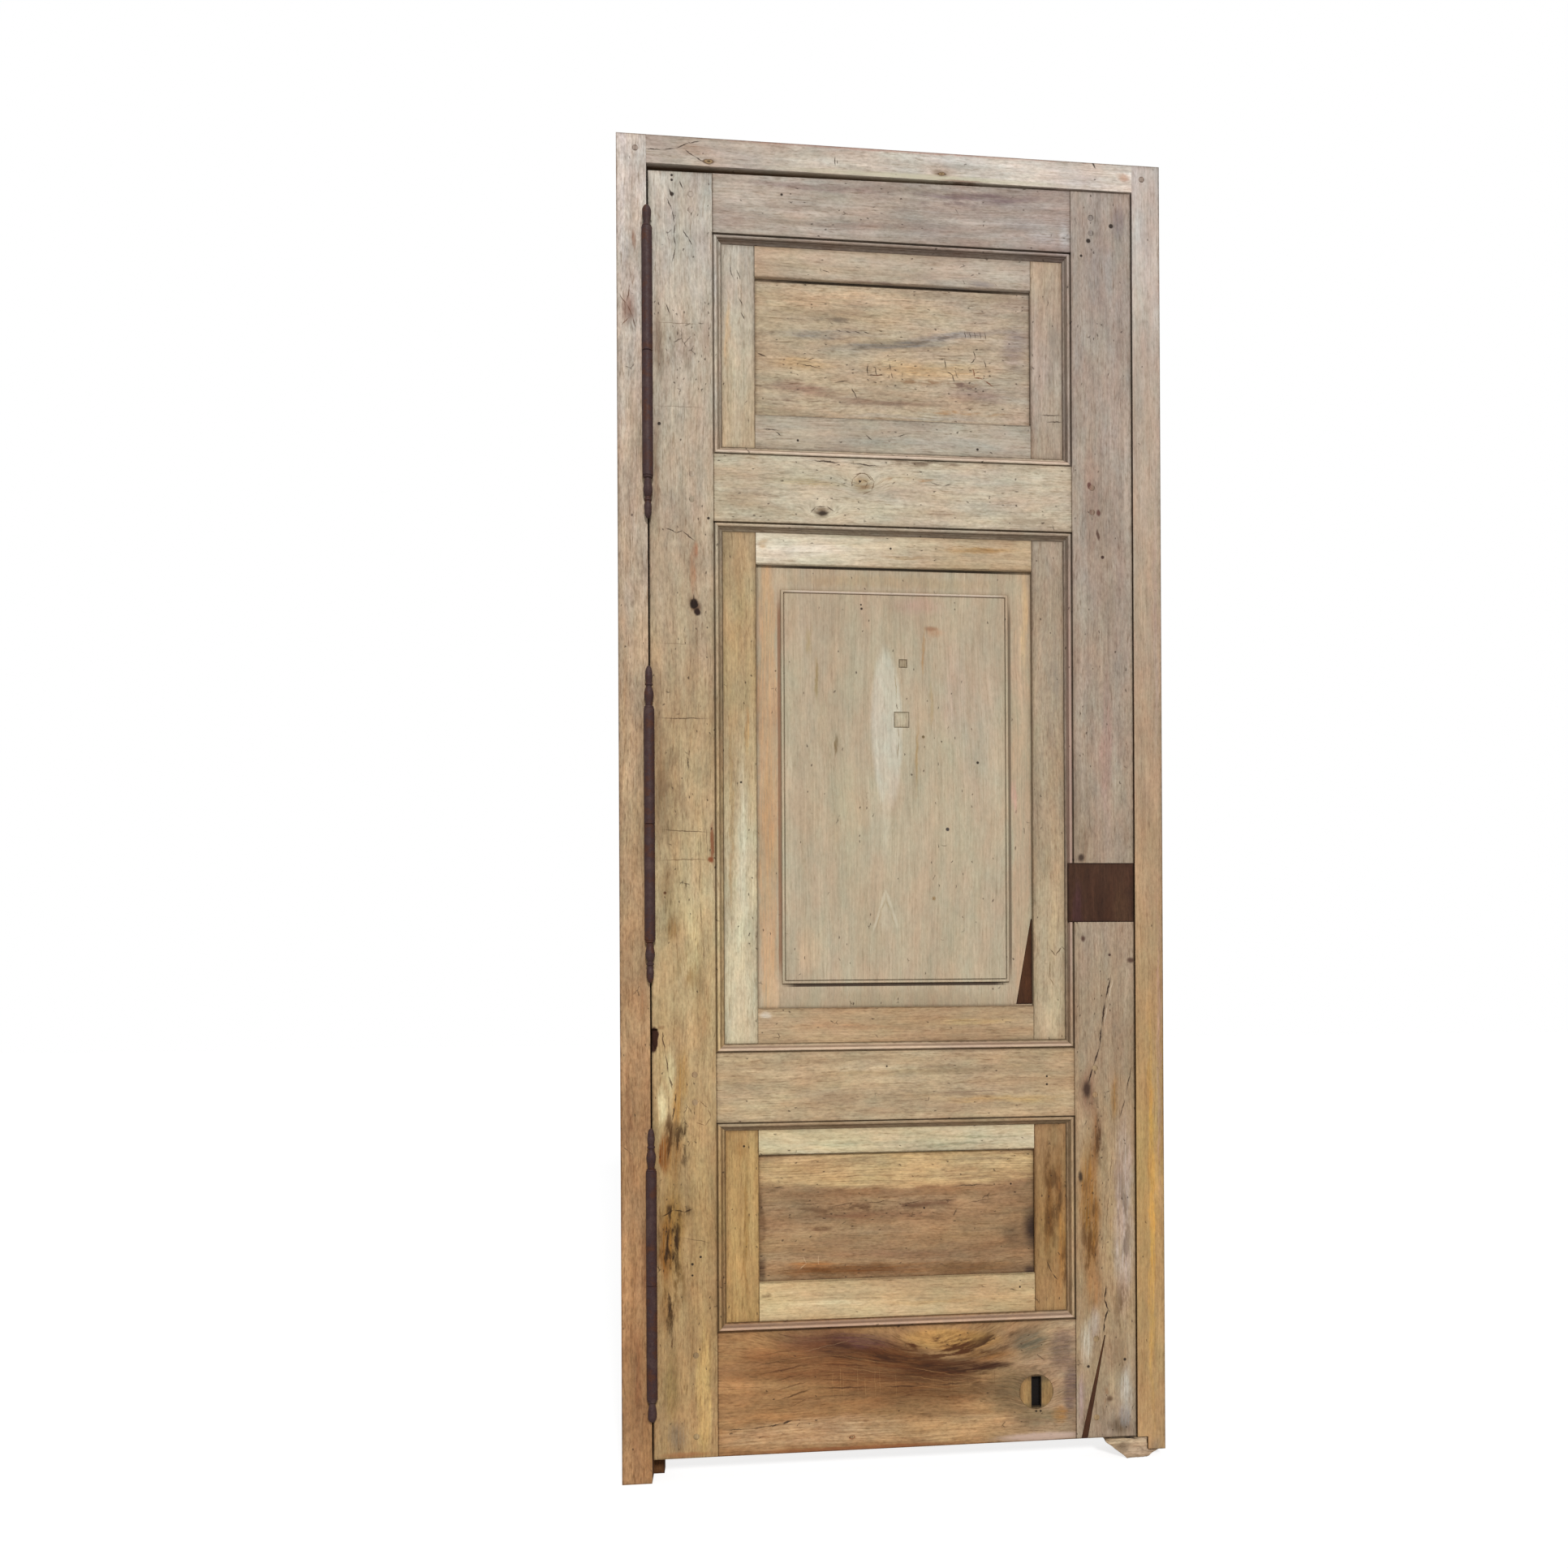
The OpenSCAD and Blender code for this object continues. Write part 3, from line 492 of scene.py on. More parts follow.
    def _figure(self, tree: Tree, layers: dict[Layer, Socket],
                colour: Socket) -> tuple[Socket, Socket]:
        """Darken the colour by every layer of the figure; the tones already hold the layers' gain.

        Args:
            tree: Material's tree.
            layers: Noise of each layer.
            colour: Colour so far.

        Returns:
            Colour and relief.
        """
        shares = {}
        for layer, noise in layers.items():
            span = layer.value.span
            shares[layer] = put(tree, "MapRange",
                                {0: noise, 1: span[0], 2: span[1], 3: 1.0, 4: 0.0}).outputs[0]
            low, high = self._ends(layer)
            tint = (*(dark / light for dark, light in zip(low, high)), 1.0)
            colour = put(tree, "Mix", {MIX_FACTOR: shares[layer], MIX_A: colour, MIX_B: tint},
                         data_type="RGBA", blend_type="MULTIPLY").outputs[MIX_RESULT]
        relief = put(tree, "Math", {0: shares[Layer.FIBRE], 1: -RELIEF, 2: 0.0}, operation="MULTIPLY_ADD")
        relief = put(tree, "Math", {0: shares[Layer.GRIT], 1: -RELIEF, 2: relief.outputs[0]},
                     operation="MULTIPLY_ADD")
        return colour, relief.outputs[0]

    def _ends(self, layer: Layer) -> tuple[Triple, Triple]:
        """Give a layer's dark and light ends at this board's strength."""
        strength = 1.0 if layer in (Layer.FIBRE, Layer.BLUSH) else self.figure
        return tuple(tuple(1 + (v - 1) * strength for v in end)
                     for end in (layer.value.low, layer.value.high))

    def _gain(self, colour: str) -> Quad:
        """Brighten a colour by the light ends of all layers, which the figure then takes back."""
        lit = np.prod([self._ends(layer)[1] for layer in Layer], axis=0) * np.array(linear(colour)[:3])
        return (*(float(v) for v in lit), 1.0)

    def _tone(self, tree: Tree, place: Socket,
              drift: Socket) -> Socket:
        """Run the tones along the grain, with a drifting border between them.

        Args:
            tree: Material's tree.
            place: Place on the door.
            drift: Slow noise that moves the borders.

        Returns:
            Colour.
        """
        axis = "Z" if self.grain is Grain.UPRIGHT else "X"
        first, last = self.tones[0].place, self.tones[-1].place
        along = put(tree, "SeparateXYZ", {0: place}).outputs[axis]
        moved = put(tree, "Math", {0: drift, 1: TONE_DRIFT, 2: along}, operation="MULTIPLY_ADD")
        share = put(tree, "MapRange", {0: moved.outputs[0], 1: first + TONE_DRIFT / 2,
                                       2: last + TONE_DRIFT / 2})
        stops = tuple(((tone.place - first) / (last - first), self._gain(tone.colour))
                      for tone in self.tones)
        return put(tree, "ValToRGB", {0: share.outputs[0]}, stops).outputs[0]

    def _spots(self, tree: Tree, place: Socket,
               seeded: Socket, marks: list[Mark], layers: dict[Layer, Socket],
               colour: Socket) -> tuple[Socket, Socket | None]:
        """Turn the wood towards each mark's tint.

        Args:
            tree: Material's tree.
            place: Place on the door.
            seeded: Place shifted for this board.
            marks: Marks to lay.
            layers: Noises that break a mark into streaks or flecks.
            colour: Colour so far.

        Returns:
            Colour, and the relief of the marks that sink, if any does.
        """
        outlines = {}
        sunk = None
        for mark in marks:
            if mark.edge not in outlines:
                outlines[mark.edge] = self._outline(tree, place, seeded, mark.edge)
            share = self._near(tree, outlines[mark.edge], mark.at, mark.half, mark.turn,
                               (mark.core, 1.0, mark.strength, 0.0), mark.edge is Edge.SQUARE)
            if mark.edge in BREAKS:
                layer, *span = BREAKS[mark.edge]
                split = put(tree, "MapRange", {0: layers[layer], **dict(enumerate(span, 1))})
                share = put(tree, "Math", {0: share, 1: split.outputs[0]}, operation="MULTIPLY",
                            use_clamp=True).outputs[0]
            tint = self._gain(mark.tint) if mark.soft else linear(mark.tint)
            colour = put(tree, "Mix", {MIX_FACTOR: share, MIX_A: colour, MIX_B: tint},
                         data_type="RGBA").outputs[MIX_RESULT]
            if mark.depth:
                sunk = put(tree, "Math", {0: share, 1: -HOLE_DEPTH * mark.depth, 2: sunk or 0.0},
                           operation="MULTIPLY_ADD").outputs[0]
        return colour, sunk

    def _outline(self, tree: Tree, place: Socket,
                 seeded: Socket, edge: Edge) -> Socket:
        """Jitter the place so that a mark's outline wanders.

        Args:
            tree: Material's tree.
            place: Place on the door.
            seeded: Place shifted for this board.
            edge: Kind of outline.

        Returns:
            Place with its jitter.
        """
        cell, reach = edge.value
        if not cell:
            return place
        long = cell if edge is Edge.CRACK else 2.5 * cell
        scaled = put(tree, "VectorMath", {0: seeded, 1: self.grain.cells(cell, long)}, operation="MULTIPLY")
        noise = put(tree, "TexNoise", {"Vector": scaled.outputs[0], "Scale": 1.0, "Detail": 4.0,
                                       "Roughness": 0.65})
        return self._shaken(tree, noise, (reach, reach, reach), place)

    def _worms(self, tree: Tree, place: Socket,
               seeded: Socket, colour: Socket) -> Socket:
        """Scatter worm specks and short broken tracks.

        A speck is the middle of a cell of 6 by 12 mm, kept in a share of the cells. A track is a
        cell border of a coarser net, kept where a noise is high.

        Args:
            tree: Material's tree.
            place: Place on the door.
            seeded: Place shifted for this board.
            colour: Colour so far.

        Returns:
            Colour.
        """
        share = put(tree, "Math", {0: self.specks, 1: 0.0}, operation="ADD").outputs[0]
        for at, half, added in self.wormy:
            more = self._near(tree, place, at, half, 0.0, (0.2, 1.0, added, 0.0))
            share = put(tree, "Math", {0: share, 1: more}, operation="ADD").outputs[0]
        wander = put(tree, "TexNoise", {"Vector": seeded, "Scale": 1 / 9, "Detail": 3.0})
        parts = put(tree, "SeparateXYZ", {0: self._shaken(tree, wander, (9.0, 9.0, 9.0), seeded)})
        face = put(tree, "CombineXYZ", {0: parts.outputs["X"], 1: parts.outputs["Z"]}).outputs[0]
        cell = self.grain.cells(*SPECK_CELL)
        fine = put(tree, "VectorMath", {0: face, 1: (cell[0], cell[2], 0.0)}, operation="MULTIPLY")
        spots = put(tree, "TexVoronoi", {"Vector": fine.outputs[0], "Scale": 1.0}, voronoi_dimensions="2D")
        near = put(tree, "MapRange", {0: spots.outputs["Distance"], 1: 0.08, 2: 0.24, 3: 1.0, 4: 0.0})
        draw = put(tree, "SeparateColor", {0: spots.outputs["Color"]})
        kept = put(tree, "Math", {0: draw.outputs[0], 1: share}, operation="LESS_THAN")
        dots = put(tree, "Math", {0: near.outputs[0], 1: kept.outputs[0]}, operation="MULTIPLY")
        cell = self.grain.cells(*TRACK_CELL)
        coarse = put(tree, "VectorMath", {0: face, 1: (cell[0], cell[2], 0.0)}, operation="MULTIPLY")
        net = put(tree, "TexVoronoi", {"Vector": coarse.outputs[0], "Scale": 1.0},
                  voronoi_dimensions="2D", feature="DISTANCE_TO_EDGE")
        line = put(tree, "MapRange", {0: net.outputs["Distance"], 1: 0.015, 2: 0.05, 3: 1.0, 4: 0.0})
        patch = put(tree, "TexNoise", {"Vector": seeded, "Scale": 1 / 24, "Detail": 2.0})
        level = put(tree, "Math", {0: share, 1: -0.55, 2: 0.69}, operation="MULTIPLY_ADD")
        over = put(tree, "Math", {0: patch.outputs["Fac"], 1: level.outputs[0]}, operation="SUBTRACT")
        over = put(tree, "MapRange", {0: over.outputs[0], 1: 0.0, 2: 0.06, 3: 0.0, 4: 0.85})
        tracks = put(tree, "Math", {0: line.outputs[0], 1: over.outputs[0]}, operation="MULTIPLY")
        dark = put(tree, "Math", {0: dots.outputs[0], 1: tracks.outputs[0]}, operation="MAXIMUM")
        deep = put(tree, "Math", {0: dark.outputs[0], 1: 0.78}, operation="MULTIPLY")
        return put(tree, "Mix", {MIX_FACTOR: deep.outputs[0], MIX_A: colour, MIX_B: linear(WORM)},
                   data_type="RGBA").outputs[MIX_RESULT]

    @staticmethod
    def _inset(tree: Tree, place: Socket, low: Point,
               high: Point) -> Socket:
        """Measure inwards from the border of a rectangle on the door's face.

        Args:
            tree: Material's tree.
            place: Place on the door.
            low: Lowest corner of the rectangle.
            high: Highest corner.

        Returns:
            Distance to the nearest border, above 0 inside.
        """
        middle = ((low[0] + high[0]) / 2, 0.0, (low[1] + high[1]) / 2)
        half = ((high[0] - low[0]) / 2, 0.0, (high[1] - low[1]) / 2)
        off = put(tree, "VectorMath", {0: place, 1: middle}, operation="SUBTRACT")
        off = put(tree, "VectorMath", {0: off.outputs[0]}, operation="ABSOLUTE")
        left = put(tree, "VectorMath", {0: half, 1: off.outputs[0]}, operation="SUBTRACT")
        parts = put(tree, "SeparateXYZ", {0: left.outputs[0]})
        return put(tree, "Math", {0: parts.outputs["X"], 1: parts.outputs["Z"]},
                   operation="MINIMUM").outputs[0]

    def _grime_and_shade(self, tree: Tree, place: Socket,
              grit: Socket, colour: Socket) -> Socket:
        """Darken borders unevenly with grime and painted shade, lighten them where a rim paints a
        highlight, and tint the rebate and the stop.

        Args:
            tree: Material's tree.
            place: Place on the door.
            grit: Noise that makes the dirt uneven.
            colour: Colour so far.

        Returns:
            Colour.
        """
        for rim in self.rims:
            inset = self._inset(tree, place, rim.low, rim.high)
            depth = put(tree, "Math", {0: grit, 1: rim.ragged, 2: inset}, operation="MULTIPLY_ADD")
            depth = put(tree, "Math", {0: depth.outputs[0], 1: rim.ragged / 2}, operation="SUBTRACT")
            first = rim.shares[0][0]
            share = put(tree, "MapRange", {0: depth.outputs[0], 1: first, 2: rim.reach})
            stops = tuple(((at - first) / (rim.reach - first), (kept ** 0.9, kept, kept ** 1.1, 1.0))
                          for at, kept in rim.shares)
            kept = put(tree, "ValToRGB", {0: share.outputs[0]}, stops)
            # Share at which a rim's grime and painted shade are laid; the edge faces of a board's own
            # border stay clean.
            grime = 1.0
            if rim.own:
                grime = put(tree, "MapRange",
                            {0: inset, 1: EDGE_FACE[0], 2: EDGE_FACE[1], 3: 0.15, 4: 1.0}).outputs[0]
            colour = put(tree, "Mix", {MIX_FACTOR: grime, MIX_A: colour, MIX_B: kept.outputs[0]},
                         data_type="RGBA", blend_type="MULTIPLY").outputs[MIX_RESULT]
        if self.inner:
            back = put(tree, "SeparateXYZ", {0: place}).outputs["Y"]
            share = put(tree, "MapRange", {0: back, 1: REBATE[0], 2: REBATE[1]})
            ends = put(tree, "MapRange", {0: back, 1: STOP_BACK[0], 2: STOP_BACK[1], 3: 1.0, 4: 0.3})
            share = put(tree, "Math", {0: share.outputs[0], 1: ends.outputs[0]}, operation="MULTIPLY")
            inset = self._inset(tree, place, (-FRAME_X, -50.0), (FRAME_X, FRAME_TOP))
            shut = put(tree, "MapRange", {0: inset, 1: INSIDE[0], 2: INSIDE[1], 3: 0.3, 4: 1.0})
            share = put(tree, "Math", {0: share.outputs[0], 1: shut.outputs[0]}, operation="MULTIPLY")
            colour = put(tree, "Mix",
                         {MIX_FACTOR: share.outputs[0], MIX_A: colour, MIX_B: linear(self.inner)},
                         data_type="RGBA", blend_type="MULTIPLY").outputs[MIX_RESULT]
        return colour


@dataclass(frozen=True)
class OldIron:
    """Forged and turned iron with a brown-black skin of old rust.

    To the eye: dark and dull, purple-brown where the skin is whole, warmer where it rusts and
    a little brighter where it is rubbed.

    Attributes:
        skin: Colour of the whole skin.
        rust: Colour where it rusts.
        rubbed: Colour of the rubbed places.
    """

    skin: str = "#382525"
    rust: str = "#472819"
    rubbed: str = "#483531"

    def material(self) -> bpy.types.Material:
        """Lay the iron's nodes.

        Returns:
            The finished material.
        """
        made = blank("rusted_forged_iron")
        tree = made.node_tree
        place = millimetres(tree)
        patches = put(tree, "TexNoise",
                      {"Vector": place, "Scale": 1 / 22, "Detail": 4.0, "Roughness": 0.65})
        grit = put(tree, "TexNoise", {"Vector": place, "Scale": 1 / 2.5, "Detail": 3.0})
        colour = put(tree, "ValToRGB", {0: patches.outputs["Fac"]}, (
            (0.36, linear(self.rust)), (0.50, linear(self.skin)), (0.68, linear(self.rubbed)))).outputs[0]
        share = put(tree, "MapRange", {
            RANGE_VALUE: grit.outputs["Fac"], RANGE_FROM_LOW: (0.3,) * 3, RANGE_FROM_HIGH: (0.7,) * 3,
            RANGE_LOW: (0.78, 0.75, 0.74), RANGE_HIGH: (1.18, 1.17, 1.17)}, data_type="FLOAT_VECTOR")
        colour = put(tree, "VectorMath", {0: colour, 1: share.outputs[RANGE_RESULT]},
                     operation="MULTIPLY").outputs[0]
        height = put(tree, "Math", {0: patches.outputs["Fac"], 1: grit.outputs["Fac"]}, operation="ADD")
        bump = put(tree, "Bump", {"Height": height.outputs[0], "Strength": 0.6, "Distance": 0.8 * MM})
        rough = put(tree, "MapRange", {0: grit.outputs["Fac"], 1: 0.3, 2: 0.7, 3: 0.5, 4: 0.72})
        shader = put(tree, "BsdfPrincipled", {
            "Base Color": colour, "Metallic": 0.1, "Specular IOR Level": 0.28,
            "Roughness": rough.outputs[0],
            "Normal": bump.outputs[0]})
        put(tree, "OutputMaterial", {"Surface": shader.outputs[0]})
        return made


# Light kept at a board's own border, where grime sits in the joint.
BORDER_DIRT: tuple[Point, ...] = ((0.0, 0.20), (0.8, 0.48), (2.4, 0.86), (8.0, 1.0))


@dataclass
class Joinery:
    """Shared work of the sub-assemblies: giving a solid its finish and its worn edges.

    Attributes:
        nodes: Solids by name.
        worn: Width of a worn arris.
        flat_angle: Turn between faces that count as one, in degrees.
        arris_angle: Turn from which an edge is an arris, in degrees.
    """

    nodes: dict[str, bpy.types.Object]
    worn: float = 0.9
    flat_angle: float = 0.5
    arris_angle: float = 38.0

    def dress(self, name: str, finish: OldWalnut | OldIron, worn: float | None = None) -> None:
        """Give a solid its finish and round its arrises.

        Args:
            name: Node of the solid.
            finish: Finish it takes.
            worn: Width of the rounding; 0 leaves the edges as they are.
        """
        if isinstance(finish, OldWalnut):
            low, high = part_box(name)
            finish = replace(finish, rims=(*finish.rims, around(low, high, BORDER_DIRT, 8.0)),
                             middle=(low[1] + high[1]) / 2 / MM)
        self.paint(name, finish.material())
        width = self.worn if worn is None else worn
        if width:
            self.wear(name, width)
        LOG.info("dressed %s", name)

    def paint(self, name: str, material: bpy.types.Material) -> None:
        """Put a material into every slot of a solid."""
        solid = self.nodes[name]
        if not solid.material_slots:
            solid.data.materials.append(material)
        for slot in solid.material_slots:
            slot.material = material

    def wear(self, name: str, width: float) -> None:
        """Join the solid's loose faces, then round its arrises.

        Args:
            name: Node of the solid.
            width: Width of the rounding.
        """
        solid = self.nodes[name]
        weld = solid.modifiers.new("joined", "WELD")
        weld.merge_threshold = 0.02 * MM
        flat = solid.modifiers.new("flat_faces", "DECIMATE")
        flat.decimate_type = "DISSOLVE"
        flat.angle_limit = math.radians(self.flat_angle)
        edge = solid.modifiers.new("worn_arris", "BEVEL")
        edge.width = width * MM
        edge.segments = 2
        edge.limit_method = "ANGLE"
        edge.angle_limit = math.radians(self.arris_angle)
        edge.harden_normals = False
        solid.modifiers.new("shading", "WEIGHTED_NORMAL")


@dataclass
class DoorFrame(Joinery):
    """Fixed frame: two jambs, the head, the broken sill end and the pegs.

    Attributes:
        stop_colour: Tint of the rebate and the stop.
        break_net: Mesh of the broken end.
        break_cell: Size of its splinters.
        break_depth: How far it is sunk.
    """

    stop_colour: str = "#988670"
    break_net: float = 2.0
    break_cell: float = 14.0
    break_depth: float = 3.0

    def build(self) -> None:
        """Dress the frame's pieces."""
        self.dress("hinge_jamb", OldWalnut(
            "hinge_jamb", Grain.UPRIGHT,
            (Tone(0, "#a37d57"), Tone(500, "#ad865e"), Tone(1150, "#b09675"), Tone(1700, "#bfae9a"),
             Tone(2286, "#dad2ca")), 16.0, 1.2, 1.0, 0.010, inner=self.stop_colour,
            marks=(
                Mark((-444, 2104), (5, 26), "#8a5c3c", 0.8), Mark((-454, 1990), (20, 38), "#8d6450", 0.75),
                *trail(((-470, 2014), (-456, 1996), (-446, 1975), (-441, 1955)), 2.6, "#5a3c2c"),
                crack((-456, 1996), (-450, 2034), 2.2, "#5a3c2c"),
                crack((-466, 1960), (-452, 1975), 2.0, "#6a4a36"),
                Mark((-434, 380), (10, 90), "#6f4a30", 0.75), Mark((-460, 640), (7, 150), "#80593a", 0.6),
                Mark((-446, 180), (8, 130), "#815738", 0.65), Mark((-464, 1250), (6, 220), "#c0a482", 0.6),
                Mark((-434, 820), (7, 160), "#8f6a48", 0.55))))
        self.dress("lock_jamb", OldWalnut(
            "lock_jamb", Grain.UPRIGHT,
            (Tone(0, "#b09068"), Tone(500, "#b1915f"), Tone(1150, "#ad9377"), Tone(1700, "#b4a28f"),
             Tone(2286, "#c3bab3")), 16.0, 0.7, 2.0, 0.004, inner=self.stop_colour,
            marks=(Mark((450, 430), (8, 460), "#c79a4e", 0.8, 0.2),
                   Mark((465, 700), (5, 400), "#b29380", 0.6),
                   Mark((462, 1500), (6, 340), "#b09a8c", 0.6), Mark((455, 20), (16, 26), "#8d7c66", 0.6))))
        self.dress("head", OldWalnut(
            "head", Grain.LEVEL, (Tone(-430, "#b7aa9e"), Tone(-150, "#c3b8aa"), Tone(430, "#dad3cb")),
            14.0, 0.9, 3.0, 0.006, inner=self.stop_colour,
            marks=(
                Mark((0, 2286), (480, 6), "#b98a7c", 0.6, edge=Edge.CRACK),
                Mark((60, 2242), (330, 8), "#c3bda3", 0.7, edge=Edge.CRACK),
                Mark((-340, 2262), (50, 14), "#9a806a", 0.5),
                *trail(((-425, 2261), (-395, 2261), (-373, 2265), (-350, 2276), (-331, 2280)), 2.8),
                *trail(((-358, 2264), (-341, 2253), (-322, 2243)), 2.8),
                *knot((-318, 2246), (11, 5)), Mark((82, 2252), (22, 9), "#7d6c55", 0.75),
                *knot((84, 2250), (9, 4)),
                crack((-102, 2268), (-102, 2252), 2.6), crack((-98, 2262), (-98, 2256), 2.0),
                Mark((405, 2262), (16, 12), "#a9744e", 0.7), crack((352, 2286), (357, 2278), 4.5),
                Mark((120, 2239), (60, 3), "#7a5648", 0.7, edge=Edge.CRACK))))
        self.dress("sill_end", OldWalnut(
            "sill_end", Grain.LEVEL, (Tone(330, "#9c8466"), Tone(390, "#bea88a"), Tone(475, "#c2ab8e")),
            9.0, 1.3, 4.0, 0.02, marks=(Mark((395, 20), (18, 14), "#6d5740", 0.6),
                                       crack((380, 40), (430, 34), 3.0))), 0.0)
        self._break("sill_end")
        self.dress("frame_pegs", OldWalnut(
            "frame_pegs", Grain.UPRIGHT, (Tone(2200, "#a5968a"), Tone(2286, "#a09085"))), 0.3)

    def _break(self, name: str) -> None:
        """Roughen a broken end: a fine net over the solid, sunk unevenly.

        Args:
            name: Node of the solid.
        """
        solid = self.nodes[name]
        net = solid.modifiers.new("fine_net", "REMESH")
        net.mode, net.voxel_size = "VOXEL", self.break_net * MM
        noise = bpy.data.textures.new("broken_fibres", "CLOUDS")
        noise.noise_scale, noise.noise_depth = self.break_cell * MM, 3
        sunk = solid.modifiers.new("broken_fibres", "DISPLACE")
        sunk.texture, sunk.texture_coords = noise, "LOCAL"
        sunk.strength, sunk.mid_level = self.break_depth * MM, 1.0


# Borders of the three openings, from the foot up: lowest and highest z of the moulded line.
OPENINGS: dict[str, Point] = {"lower": (250.0, 608.0), "middle": (727.0, 1634.0), "upper": (1749.0, 2126.0)}
MOULDING_W = 14.5

# Light kept on the moulding: painted shade with grime in the quirk, a painted highlight on the bead,
# painted shade with grime in the fillet, the cove kept light, and painted shade with grime at the foot.
MOULDING_SHADE_GRIME_AND_HIGHLIGHT: tuple[Point, ...] = (
    (-5.0, 1.0), (-1.0, 0.82), (0.4, 0.22), (1.8, 0.32), (3.2, 0.98), (6.0, 1.06), (7.8, 0.62),
    (9.2, 0.45), (11.5, 0.95), (13.6, 0.85), (15.0, 0.42))


def opening_rim(name: str, inset: float, shares: tuple[Point, ...], reach: float) -> Rim:
    """Lay painted shade with grime, and any painted highlight, inside an opening's border.

    Args:
        name: Opening.
        inset: Distance of the rim's border from the moulded line.
        shares: Light kept at distances inwards.
        reach: Last distance of the shares.

    Returns:
        The rim.
    """
    low, high = OPENINGS[name]
    return Rim((-LINE_X + inset, low + inset), (LINE_X - inset, high - inset), shares, reach)


def moulded_rims() -> tuple[Rim, ...]:
    """Give the painted shade, painted highlights and grime of the mouldings round all three openings."""
    return tuple(opening_rim(name, 0.0, MOULDING_SHADE_GRIME_AND_HIGHLIGHT, 15.0) for name in OPENINGS)


def moulding_shade_and_highlight(over: float | None, under: float | None) -> tuple[Mark, ...]:
    """Paint shade, with grime, on the moulding over an opening and a highlight on the one under an opening.

    Args:
        over: Height of the moulded line that the rail holds over an opening.
        under: Height of the line that it holds under one.

    Returns:
        The marks.
    """
    marks: tuple[Mark, ...] = ()
    if over:
        # Painted shade, with grime, on the moulding over the opening.
        marks += (Mark((0.0, over - 9.5), (900.0, 8.0), "#5a3c26", 0.34, 0.5, edge=Edge.CLEAN),)
    if under:
        # Painted highlight on the moulding under the opening.
        marks += (Mark((0.0, under + 7.5), (900.0, 6.5), "#dfc2b0", 0.42, 0.4, edge=Edge.CLEAN),)
    return marks


def shoulder_rim() -> Rim:
    """Give the dirt in the joints between a rail's shoulders and the stiles."""
    return Rim((-LINE_X, -100.0), (LINE_X, 2400.0), ((-0.5, 0.16), (1.2, 0.36), (2.6, 0.88), (9.0, 1.0)),
               9.0, 1.5)


